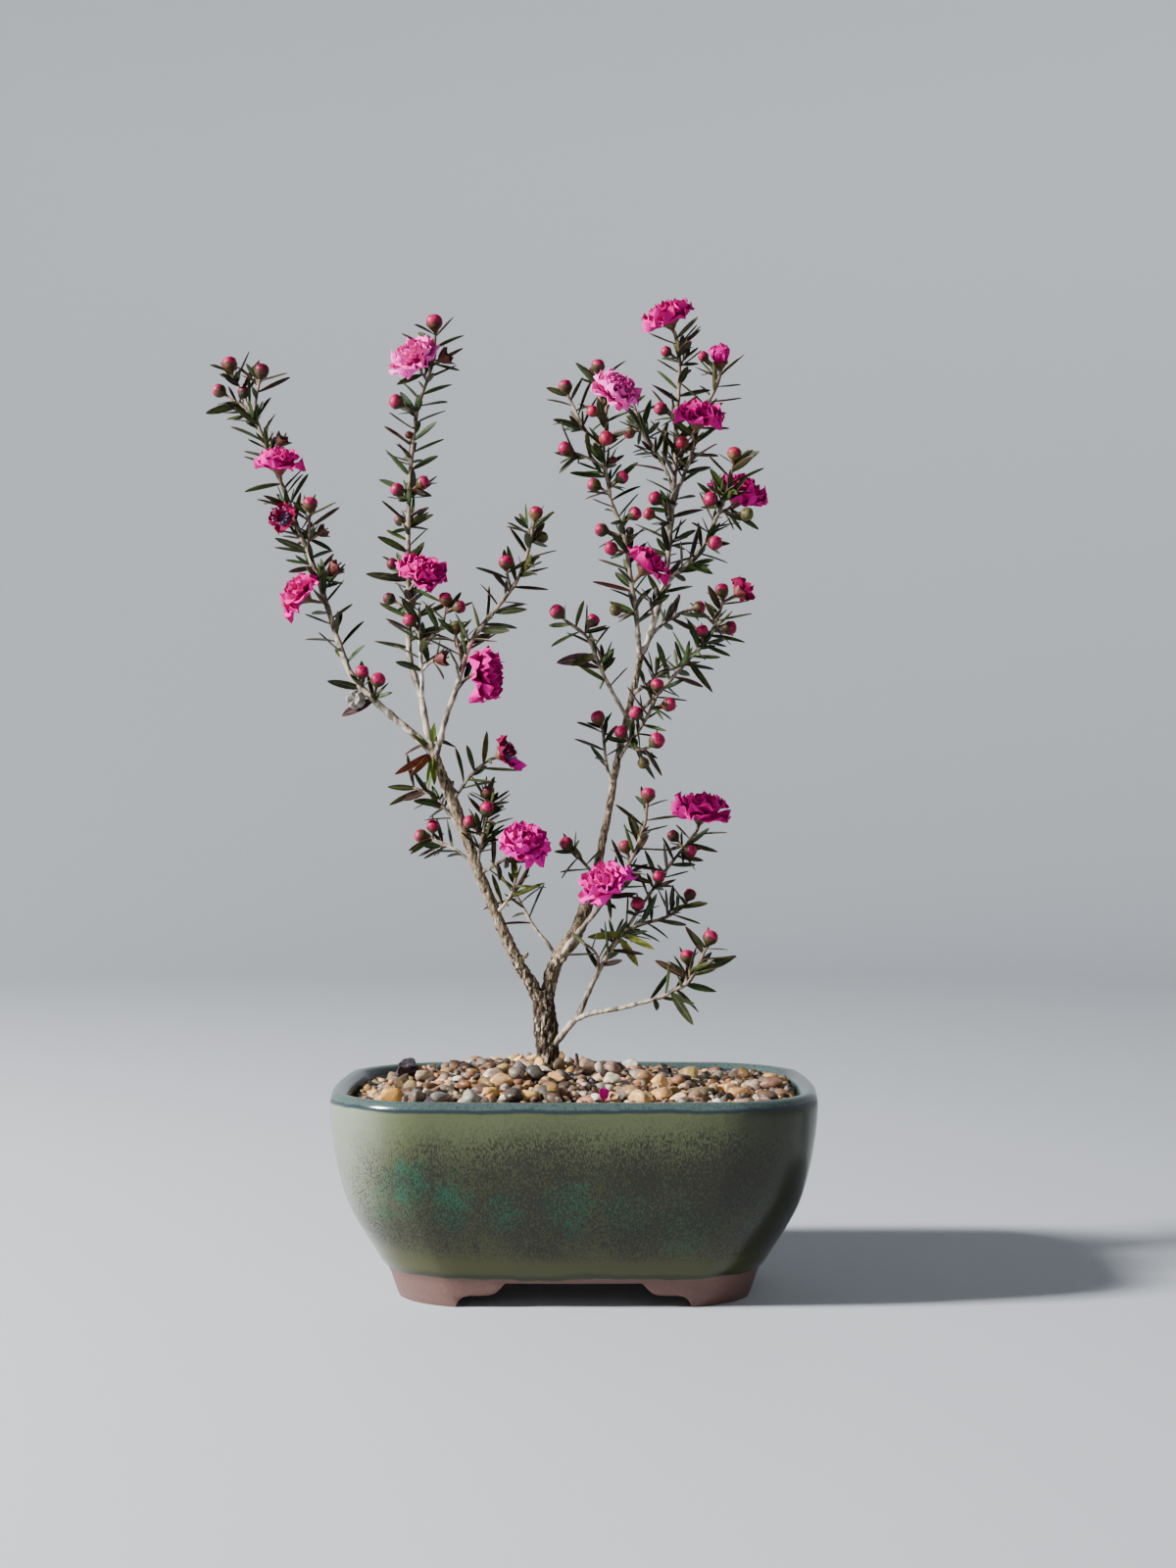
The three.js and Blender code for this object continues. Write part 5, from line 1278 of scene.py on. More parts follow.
@dataclass
class Gravel:
    """The top dressing: a bed covered with rounded stones, heaped towards the trunk."""

    edge: float = 59.6
    mound: float = 8.6
    left_drop: float = 2.8
    middle_x: float = -14
    spread: float = 38
    half_depth: float = 57
    low: float = 55.4
    bed_drop: float = 1.4
    bed_width: float = 69.3
    trunk_x: float = -8.4
    trunk_radius: float = 3.2
    reach: tuple[float, float] = (69, 52)
    closeness: float = 0.82
    tries: int = 9
    cell: float = 8
    flat_sides: int = 7
    seed: int = 11
    shapes: int = 9
    # Each kind of stone: how many, their smallest and largest radius, and whether they lie on top.
    layers: tuple[tuple[int, float, float, int], ...] = (
        (22, 3.5, 4.4, 0), (90, 2.5, 3.3, 0), (480, 1.6, 2.3, 0), (850, 0.9, 1.5, 0), (52, 2.4, 3.4, 1),
        (480, 0.9, 2.0, 1),
    )
    palette: tuple[Colour, ...] = (
        (0.46, 0.19, 0.06), (0.62, 0.46, 0.28), (0.46, 0.21, 0.13), (0.15, 0.075, 0.04), (0.21, 0.19, 0.17),
        (0.080, 0.055, 0.065), (0.68, 0.62, 0.50), (0.56, 0.33, 0.09), (0.25, 0.10, 0.055),
        (0.16, 0.15, 0.10), (0.40, 0.30, 0.22), (0.60, 0.34, 0.16), (0.66, 0.36, 0.12),
    )
    # Each large stone: its x and y, how far it is sunk, its half-sizes and its colour.
    large: tuple[tuple[float, float, float, Point, Colour], ...] = (
        (-52.6, 6, 0.6, (4.3, 3.8, 4.0), (0.045, 0.035, 0.045)),
        (-55, -37, 1.4, (5.5, 4, 3.2), (0.70, 0.36, 0.08)),
        (-22, -30, 1.2, (4, 3.2, 2.6), (0.60, 0.34, 0.15)),
        (27, -36, 1.4, (4.6, 3.4, 2.8), (0.56, 0.30, 0.10)),
        (12, -20, 1.2, (3.6, 3, 2.6), (0.66, 0.54, 0.38)),
        (36, 4, 0.8, (3.8, 3.2, 3.2), (0.56, 0.38, 0.12)),
        (-34, 22, 1.2, (4, 3.4, 2.6), (0.30, 0.24, 0.21)),
        (50, -24, 1.4, (4, 3.4, 2.4), (0.50, 0.24, 0.08)),
        (-8, -42, 1.2, (4.6, 3.4, 2.6), (0.085, 0.080, 0.055)),
        (18, 30, 1.2, (4, 3.2, 2.6), (0.42, 0.36, 0.30)),
        (20, -44, 1.2, (4.8, 3.4, 3.0), (0.60, 0.36, 0.13)),
        (4, -8, 0.8, (3.4, 3.0, 2.8), (0.30, 0.19, 0.13)),
    )

    def height(self, x: float, y: float) -> float:
        """Finds the height of the bed before its stones stand out.

        Args:
            x: How far to the right.
            y: How far to the back.

        Returns:
            The height.
        """
        across = 1 / (1 + ((x - self.middle_x) / self.spread) ** 2)
        deep = 1 - min(1.0, abs(y) / self.half_depth) ** 2
        drop = self.left_drop * min(1.0, max(0.0, (-x - 48) / 14))
        return self.edge + self.mound * across * deep - drop

    def pebble(self, salt: int, fineness: int, rugged: float = 0.42) -> Mesh:
        """Makes a worn stone of a shape of its own, with a few flattened sides.

        Args:
            salt: The number of the shape.
            fineness: How finely it is divided.
            rugged: How uneven it is.

        Returns:
            The stone, of radius 1.
        """
        body = Body()
        bmesh.ops.create_icosphere(body.bm, subdivisions=fineness, radius=1)
        sides = []
        for side in range(self.flat_sides):
            turn, rise = draw(side, salt) * math.tau, draw(side, salt + 3) * 2 - 1
            flat = math.sqrt(1 - rise**2)
            way = Vector((flat * math.cos(turn), flat * math.sin(turn), rise))
            sides.append((way, 0.5 + 0.3 * draw(side, salt + 5)))
        for vert in body.bm.verts:
            vert.co *= 1 + rugged * noise.noise(vert.co * (0.6 + 1.5 * rugged) + Vector((salt * 7.3, 0, 0)))
            for way, reach in sides:
                vert.co -= way * max(0.0, vert.co.dot(way) - reach) * 0.85
        return body.kept("pebble")

    def scattered(self, random_draw: random.Random) -> list[tuple[float, float, float, int]]:
        """Scatters stones, large before small, none too close to another of its layer.

        Args:
            random_draw: The source of its draws.

        Returns:
            The x, y, radius and layer of each.
        """
        stones = []
        cells = {}
        for count, small, big, layer in self.layers:
            for _ in range(count * self.tries):
                radius = random_draw.uniform(small, big)
                x, y = (random_draw.uniform(-far, far) for far in self.reach)
                from_trunk = math.hypot(x - self.trunk_x, y) - radius * 0.8
                if not HOLLOW.holds(x, y, radius * 0.75) or from_trunk < self.trunk_radius:
                    continue
                row, column = round(x / self.cell), round(y / self.cell)
                near = [(row + i, column + j, layer) for i in (-1, 0, 1) for j in (-1, 0, 1)]
                close = [one for cell in near for one in cells.get(cell, [])]
                if any(math.hypot(x - a, y - b) < (radius + c) * self.closeness for a, b, c in close):
                    continue
                cells.setdefault((row, column, layer), []).append((x, y, radius))
                stones.append((x, y, radius, layer))
                count -= 1
                if count == 0:
                    break
        return stones

    def build(self, finishes: dict[str, Material]) -> None:
        """Makes the top dressing.

        Args:
            finishes: The finishes by name.
        """
        random_draw = random.Random(self.seed)
        pebbles = [self.pebble(salt, 2) for salt in range(self.shapes)]
        body = Body()
        rings = [HOLLOW.ring(69.0, self.low), HOLLOW.ring(self.bed_width, self.edge - self.bed_drop)]
        for share in (0.96, 0.88, 0.78, 0.66, 0.54, 0.42, 0.3, 0.18, 0.06):
            ring = HOLLOW.ring(self.bed_width * share, 0)
            rings.append([Vector((one.x, one.y, self.height(one.x, one.y) - self.bed_drop)) for one in ring])
        body.lofted(rings, 1)
        # The bed under the stones is tinted near-black, as painted shade in the gaps between them.
        body.coloured(body.bm.verts, (0.014, 0.010, 0.008))
        for number, (x, y, sink, size, tint) in enumerate(self.large):
            place = Matrix.Translation((x, y, self.height(x, y) + size[2] - sink))
            place @= Matrix.Rotation(x * 1.7, 4, "Z") @ Matrix.Diagonal((*size, 1))
            body.stamp(self.pebble(number + 30, 3, 1.0 if number == 0 else 0.42), place, {0: tint})
        for x, y, radius, layer in self.scattered(random_draw):
            flat = random_draw.uniform(0.6, 0.95)
            size = (radius * 1.12, radius * random_draw.uniform(0.75, 1.05), radius * flat, 1)
            lift = self.height(x, y) - 0.4 + radius * (0.2 if layer == 0 else 0.75)
            place = Matrix.Translation((x, y, lift)) @ Matrix.Rotation(random_draw.uniform(0, 6.28), 4, "Z")
            place @= Matrix.Rotation(random_draw.uniform(-0.7, 0.7), 4, "X") @ Matrix.Diagonal(size)
            tint = mixed(random_draw.choice(self.palette), random_draw.choice(self.palette), 0.2)
            tint = mixed((0, 0, 0), tint, 0.10 + 1.3 * random_draw.random() ** 1.4)
            body.stamp(pebbles[random_draw.randrange(self.shapes)], place, {0: tint})
        fallen = Matrix.Translation((9.4, -46, 63.2)) @ Matrix.Rotation(0.5, 4, "Z")
        fallen @= Matrix.Rotation(1.0, 4, "X") @ Matrix.Diagonal((3.8, 3.6, 3.6, 1))
        body.stamp(petal_stamp(0.9, 0.3, 3, 2), fallen, {2: Hue.HOT.value[0]})
        stub = [Vector((1.2, -2, 65)), Vector((1.1, -2, 69)), Vector((0.6, -2.2, 72.4))]
        body.sweep(stub, [0.7, 0.65, 0.5], 8, ((0.06, 0.04, 0.03), (0.05, 0.035, 0.03)), 1)
        materials = [finishes[name] for name in ("stone", "grit", "petal")]
        body.shown("gravel_stones", "gravel", Slot.GRAVEL, 60, materials)


@dataclass
class Trunk:
    """The root stock and its two legs, grown together, with flaking bark."""

    step: float = 1.6
    sides: int = 14
    fineness: float = 0.3
    furrow: float = 0.62
    fade: tuple[float, float] = (92, 118)
    whole_legs: int = 3
    knobbly_leg: float = 0.16
    knobbly_root: float = 0.05
    swell: float = 1.12

    def build(self, bark: Material) -> None:
        """Makes the trunk.

        Args:
            bark: Its finish.
        """
        body = Body()
        for number, leg in enumerate(TRUNK):
            path = Path([seen(point) for point in leg], self.step)
            knobbly = self.knobbly_leg if number < self.whole_legs else self.knobbly_root
            radii = []
            for i, point in enumerate(path.points):
                spot = i / (len(path.points) - 1) * (len(leg) - 1)
                low = min(int(spot), len(leg) - 2)
                radius = leg[low][3] + (leg[low + 1][3] - leg[low][3]) * (spot - low)
                lumps = 1 + knobbly * noise.noise(Vector((number * 9, 0, point.z * 0.22)))
                radii.append(radius * lumps * (self.swell if point.z > self.fade[0] else 1))
            body.sweep(path.points, radii, self.sides, ((1, 1, 1), (1, 1, 1)))
        body.modify("REMESH", mode="VOXEL", voxel_size=self.fineness)
        axes = {"use_axis_x": True, "use_axis_y": True, "use_axis_z": True}
        bmesh.ops.smooth_vert(body.bm, verts=body.bm.verts, factor=0.5, **axes)
        body.bm.normal_update()
        for vert in body.bm.verts:
            x, y, z = vert.co
            share = min(1.0, max(0.0, (z - self.fade[0]) / (self.fade[1] - self.fade[0])))
            ridge = 1 - 3 * abs(noise.noise(Vector((x * 0.8, y * 0.8, z * 0.16))))
            plate = noise.noise(Vector((x * 1.3, y * 1.3, z * 0.45 + 40)))
            flake = noise.noise(Vector((x * 2.4, y * 2.4, z * 1.1 + 80)))
            relief = ridge * 0.45 - 0.3 + plate * 0.8 + flake * 0.45
            vert.co += vert.normal * self.furrow * (1 - 0.68 * share) * relief
        body.shown("flaking_trunk", "trunk", Slot.BARK, 75, [bark])


OLIVE, PURPLE, RUSSET = (0.050, 0.062, 0.028), (0.105, 0.045, 0.070), (0.330, 0.075, 0.040)
FRESH, LIME, MAROON = (0.150, 0.260, 0.035), (0.300, 0.340, 0.070), (0.140, 0.025, 0.030)

# Leaves that stand out by themselves: the stem, the noted x and z of the leaf's foot and of its tip,
# its colour, and how far its tip comes to the front.
LOOSE_LEAVES = (
    ("tall_left_stem", -54, 222, -67.5, 223.8, OLIVE, 1.5),
    ("far_left_stem", -67, 187.5, -78, 189.7, OLIVE, 1.5),
    ("far_left_stem", -65, 183.5, -75, 178.5, PURPLE, 1.5),
    ("far_left_stem", -88, 238.3, -83, 234.5, OLIVE, 1.5),
    ("far_left_stem", -86, 233, -96.5, 237, OLIVE, 1.5),
    ("inner_left_stem", -30, 206, -20, 205.8, OLIVE, 1.5),
    ("inner_left_stem", -26, 211.5, -15.5, 212.5, OLIVE, 1.5),
    ("left_going_stem", 6.4, 197.5, -6.0, 195.6, PURPLE, 1.5),
    ("inner_top_stem", 17.8, 218, 5, 220.5, MAROON, 1.5),
    ("outer_right_stem", 50, 257, 58.5, 261, OLIVE, 1.5),
    ("low_stem", 39, 99.5, 51.5, 104, OLIVE, 1.5),
    ("low_stem", 33, 93, 40, 86, OLIVE, 1.5),
    ("low_stem", 31, 92, 38, 82, OLIVE, 1.5),
    ("right_stem", 37, 197.5, 44.5, 186.5, OLIVE, 1.5),
    ("left_side_twig", -50, 156.4, -59, 157, OLIVE, 1.5),
    ("left_side_twig", -47, 155, -54.5, 152.5, PURPLE, 1.5),
    ("tall_left_stem", -44.8, 167.8, -57, 160.8, RUSSET, 3),
    ("tall_left_stem", -44.8, 167.8, -52.5, 160, RUSSET, 4.5),
    ("tall_left_stem", -44.8, 167.8, -46.6, 156.5, FRESH, 5),
    ("tall_left_stem", -44.8, 167.8, -44.2, 157.5, FRESH, 5.5),
    ("tall_left_stem", -45, 168.4, -52, 174, FRESH, 3),
    ("tall_left_stem", -46, 170, -44.8, 178, FRESH, 3.5),
    ("tall_left_stem", -46, 171, -54, 167.2, PURPLE, 3),
    ("tall_left_stem", -46.4, 172, -37.5, 168.4, OLIVE, 1.5),
    ("lower_right_stem", 15.5, 110, 4, 109, LIME, 1.5),
    ("lower_right_stem", 16, 110.4, 26, 105.5, LIME, 1.5),
    ("lower_right_stem", 14, 108.4, 20, 99.5, LIME, 1.5),
    ("lower_right_stem", 15, 109.6, 9, 102, LIME, 1.5),
)


@dataclass
class Crown:
    """Everything that grows on the trunk's legs: leafy stems with their buds, and the flowers."""

    wood_step: float = 1.8
    leaf_step: float = 1.9
    leaf_length: float = 10.4
    leaf_width: float = 2.0
    loose_width: float = 1.35
    lean: float = 63
    lean_spread: float = 34
    flatten: float = 0.72
    golden_turn: float = 137.5
    stem_turn: float = 40
    try_turn: float = 37
    twig_leafy: float = 0.35
    tuft_share: float = 0.13
    bract_count: int = 4
    bud_room: float = 0.6
    bloom_room: float = 0.86
    small_length: float = 0.5
    small_spread: float = 0.34
    tuft_length: float = 3.4
    least_stalk: float = 0.6
    joint: float = 0.22
    unevenness: float = 0.18
    tuft_leaves: int = 6
    stalk_drop: float = 2.5
    pedicel_reach: float = 4.6
    old_wood: Colour = (0.430, 0.365, 0.270)
    pale_wood: Colour = (0.640, 0.570, 0.480)
    young_wood: Colour = (0.205, 0.138, 0.090)
    # Among these, the blue-grey (0.070, 0.112, 0.080) is a painted sheen.
    greens: tuple[Colour, ...] = (
        (0.028, 0.072, 0.016), (0.018, 0.048, 0.012), (0.042, 0.096, 0.020), (0.060, 0.118, 0.028),
        (0.034, 0.076, 0.028), (0.075, 0.036, 0.030), (0.052, 0.028, 0.034), (0.070, 0.112, 0.080),
        (0.076, 0.090, 0.030), (0.026, 0.068, 0.016), (0.040, 0.094, 0.020), (0.030, 0.066, 0.022),
    )

    def __post_init__(self) -> None:
        """Lays the stems' paths and makes the stamps."""
        self.paths: dict[str, list[Path]] = {}
        for stem in STEMS:
            main, *twigs = ([seen(point) for point in route] for route in (stem.route, *stem.twigs))
            paths = [Path(main, self.wood_step)]
            paths += [Path([paths[0].nearest(twig[0]), *twig[1:]], self.wood_step) for twig in twigs]
            self.paths[stem.node] = paths
        self.leaves = [leaf_stamp(*bend) for bend in ((0.05, 0.0), (0.10, 0.35), (-0.05, -0.25), (0.0, 0.6))]
        self.bud, self.cup = bud_stamp(), cup_stamp()
        self.discs = [(seen(one.at), one.across / 2) for one in BLOOMS]
        self.balls = [
            (seen((one.x, one.depth, one.z)), one.size * self.bud_room)
            for stem in STEMS
            for one in (*stem.buds, *stem.cups)
        ]

    def wood(self, body: Body, stem: Stem) -> None:
        """Adds a stem's wood.

        Args:
            body: What it is added to.
            stem: The stem.
        """
        old = self.pale_wood if stem.node == "short_left_stem" else self.old_wood
        for number, path in enumerate(self.paths[stem.node]):
            start, end = (stem.radius, stem.tip) if number == 0 else (stem.tip * 1.05, stem.tip * 0.9)
            radii = []
            for i, point in enumerate(path.points):
                joint = self.joint * max(0.0, math.sin(i * 1.9 + number))
                joint += self.unevenness * noise.noise(point * 0.35)
                share = (i / (len(path.points) - 1)) ** 0.7
                radii.append((start + (end - start) * share) * (1.02 + joint))
            first = old if number == 0 else mixed(old, self.young_wood, 0.5)
            body.sweep(path.points, radii, 8, (first, self.young_wood))

    def leaf_tint(self, stem: Stem, step: int, share: float, salt: float) -> Colour:
        """Chooses a leaf's colour.

        Args:
            stem: Its stem.
            step: The number of the leaf.
            share: How far along the stem it is, from 0 to 1.
            salt: The number of the stem.

        Returns:
            The colour.
        """
        if stem.node == "green_shoot":
            return mixed((0.11, 0.16, 0.035), LIME, draw(step, 31) * 0.7)
        tint = self.greens[int(draw(step, salt + 21) * len(self.greens))]
        young = max(0.0, share - 0.75) * draw(step, salt + 22)
        return mixed(tint, (0.13, 0.15, 0.05), min(0.8, young * 2.5))

    def is_clear(self, points: Iterable[Vector]) -> bool:
        """Tests whether a leaf would leave the flowers and buds clear.

        Args:
            points: Points of the leaf.

        Returns:
            Whether none of them lies inside a flower or stands before a bud.
        """
        for point in points:
            if any((point - middle).length <= reach * self.bloom_room for middle, reach in self.discs):
                return False
            for middle, reach in self.balls:
                if point.y < middle.y + 1 and math.hypot(point.x - middle.x, point.z - middle.z) < reach:
                    return False
        return True

    def wood_near(self, node: str, point: Vector) -> Vector:
        """Finds where a stalk that goes to a point starts, a little below that point.

        Args:
            node: The stem that it grows on.
            point: Where it goes.

        Returns:
            The point of the stem's wood.
        """
        low = point + DOWN * self.stalk_drop
        return min((path.nearest(low) for path in self.paths[node]), key=lambda one: (one - low).length)

    def leaf(
        self, body: Body, shape: int, step: int, foot: Vector, span: Vector, normal: Vector, tint: Colour,
        wide: float = 1.0,
    ) -> None:
        """Adds a leaf.

        Args:
            body: What it is added to.
            shape: The number of its shape.
            step: The number of the leaf.
            foot: Where it grows.
            span: From there to its tip.
            normal: Which way its upper face looks.
            tint: Its colour.
            wide: How broad it is against the others.
        """
        length, axis = span.length, span.normalized()
        roll = Matrix.Rotation((draw(step, 41) - 0.5) * 1.5, 3, axis)
        normal = roll @ (normal - axis * normal.dot(axis)).normalized()
        wide *= self.leaf_width * (0.78 + 0.62 * draw(step, 42) ** 2)
        wide *= min(1.0, 0.4 + 0.6 * length / self.leaf_length)
        place = framed(foot, axis.cross(normal).normalized() * wide, span, normal * length)
        body.stamp(self.leaves[shape % 4], place, {1: tint})

    def foliage(self, body: Body, stem: Stem, index: int) -> None:
        """Adds a stem's leaves, spirally, each turned on until it clears the flowers.

        Args:
            body: What they are added to.
            stem: The stem.
            index: The number of the stem.
        """
        for number, path in enumerate(self.paths[stem.node]):
            steps = int(path.length / self.leaf_step)
            first = math.ceil(steps * (stem.leafy if number == 0 else self.twig_leafy))
            for step in range(first, steps + 1):
                point, along = path.place(step * self.leaf_step)
                side = along.cross(Vector((0, 1, 0))).normalized()
                front = along.cross(side)
                lean = math.radians(self.lean + self.lean_spread * (draw(step, index) - 0.5))
                length = self.leaf_length * (0.8 + 0.4 * draw(step, index + 7))
                spiral = step * self.golden_turn + index * self.stem_turn
                for turn in range(9):
                    angle = math.radians(spiral + turn * self.try_turn)
                    out = (side * math.cos(angle) + front * math.sin(angle) * self.flatten).normalized()
                    axis = leaning(along, out, lean)
                    if self.is_clear([point + axis * length, point + axis * length * 0.5]):
                        salt = step + index * 100
                        tint = self.leaf_tint(stem, step, step / max(steps, 1), index)
                        self.leaf(body, int(draw(salt, 43) * 4), salt, point, axis * length, along, tint)
                        if draw(step, index + 91) < self.tuft_share:
                            self.tuft(body, stem, point, (axis * 0.7 + along * 0.7).normalized(), salt)
                        break

    def small_leaves(
        self, body: Body, stem: Stem, foot: Vector, heading: Vector, salt: int, ring: Iterable[Point],
        checked: Sequence[float],
    ) -> None:
        """Adds the small leaves round a side shoot or a stalk.

        Args:
            body: What they are added to.
            stem: The stem that it grows on.
            foot: Where it begins.
            heading: Where it points.
            salt: Its number.
            ring: Each leaf's turn and lean in degrees, and how far up it grows.
            checked: The shares of a leaf's length that have to be clear.
        """
        square = heading.orthogonal().normalized()
        for number, (turn, lean, rise) in enumerate(ring):
            out = Matrix.Rotation(math.radians(turn), 3, heading) @ square
            length = self.leaf_length * (self.small_length + self.small_spread * draw(number, salt))
            span = leaning(heading, out, math.radians(lean)) * length
            start = foot + heading * rise
            if self.is_clear(start + span * share for share in checked):
                tint = self.leaf_tint(stem, salt + number, 0.5, 3)
                self.leaf(body, number, salt + number, start, span, heading, tint)

    def tuft(self, body: Body, stem: Stem, foot: Vector, heading: Vector, salt: int) -> None:
        """Adds a short side shoot with a few small leaves.

        Args:
            body: What it is added to.
            stem: The stem that it grows on.
            foot: Where it grows.
            heading: Where it points.
            salt: The number of the leaf that it grows beside.
        """
        end = foot + heading * self.tuft_length
        if self.is_clear([end]):
            body.sweep([foot, (foot + end) / 2, end], [0.42, 0.36, 0.25], 6, (self.young_wood,) * 2)
            ring = [(i * self.golden_turn, 62 - 7 * i, 0.9 + 0.45 * i) for i in range(self.tuft_leaves)]
            self.small_leaves(body, stem, foot, heading, salt, ring, (1,))

    def stalked(self, body: Body, stem: Stem, bud: Bud, empty: bool) -> None:
        """Adds a bud or an empty cup on its stalk, with small leaves round its foot.

        Args:
            body: What it is added to.
            stem: The stem that it grows on.
            bud: Its place, size and look.
            empty: Whether it is an empty cup.
        """
        place = seen((bud.x, bud.depth, bud.z))
        foot = self.wood_near(stem.node, place)
        direction = (place - foot).normalized()
        base = place - direction * bud.size / 2
        if (base - foot).dot(direction) > self.least_stalk:
            middle = (foot + base) / 2 + DOWN * 0.25
            body.sweep([foot, middle, base + direction * 0.3], [0.5, 0.42, 0.5], 7, (self.young_wood,) * 2)
        else:
            base = foot + direction * 0.3
        salt = int(abs(bud.x * 10))
        turns = [i * self.golden_turn + salt * 31 for i in range(self.bract_count)]
        ring = [(turn, 36 + 30 * draw(i, salt + 5), 0.5) for i, turn in enumerate(turns)]
        self.small_leaves(body, stem, foot, direction, salt, ring, (1, 0.5))
        ball, cup = bud.look.value
        if empty:
            cup = mixed(cup, (0.090, 0.010, 0.016), 0.4 + 0.6 * draw(bud.x, 51))
        colours = {2: mixed(cup, (0.13, 0.030, 0.018), draw(bud.x, 52) * 0.6), 3: ball}
        spin = Matrix.Rotation(draw(bud.z, 53) * 6.28, 4, "Z") @ Matrix.Scale(bud.size, 4)
        body.stamp(self.cup if empty else self.bud, directed(base, direction) @ spin, colours)

    def build_stem(self, stem: Stem, index: int, finishes: dict[str, Material]) -> None:
        """Makes a stem with all that grows on it.

        Args:
            stem: The stem.
            index: Its number.
            finishes: The finishes by name.
        """
        body = Body()
        self.wood(body, stem)
        for number, bud in enumerate(stem.buds + stem.cups):
            self.stalked(body, stem, bud, number >= len(stem.buds))
        self.foliage(body, stem, index)
        wood = [point for path in self.paths[stem.node] for point in path.points]
        for number, (node, x, z, tip_x, tip_z, tint, front) in enumerate(LOOSE_LEAVES):
            if node == stem.node:
                foot = min(wood, key=lambda point: (point.x - x) ** 2 + (point.z - z) ** 2)
                span = Vector((tip_x - x, -front, tip_z - z))
                self.leaf(body, number, number, foot, span, Vector((0, -0.9, 0.5)), tint, self.loose_width)
        materials = [finishes[name] for name in ("twig", "leaf", "calyx", "bud")]
        body.shown("grown_" + stem.node, stem.node, Slot.FOLIAGE, 55, materials)


@dataclass(frozen=True)
class Whorl:
    """A ring of petals: how many, and their length, width, tilt and height on the flower."""

    count: int
    length: float
    width: float
    tilt: float
    height: float
    narrow: bool = False


WHORLS = {
    Form.OPEN: (
        Whorl(6, 1.0, 0.94, 6, 2.5), Whorl(6, 0.93, 0.84, 20, 3.0), Whorl(7, 0.80, 0.66, 33, 3.4),
        Whorl(8, 0.66, 0.48, 47, 3.8, True), Whorl(8, 0.52, 0.36, 62, 4.1, True),
        Whorl(5, 0.40, 0.28, 76, 4.3, True),
    ),
    Form.HALF: (Whorl(5, 1.25, 1.5, 62, 2.1), Whorl(5, 1.2, 1.3, 76, 2.4), Whorl(5, 1.0, 0.8, 84, 2.8, True)),
    Form.SPENT: (Whorl(6, 1.0, 0.8, 14, 2.5), Whorl(6, 0.62, 0.42, 46, 3.0, True)),
}


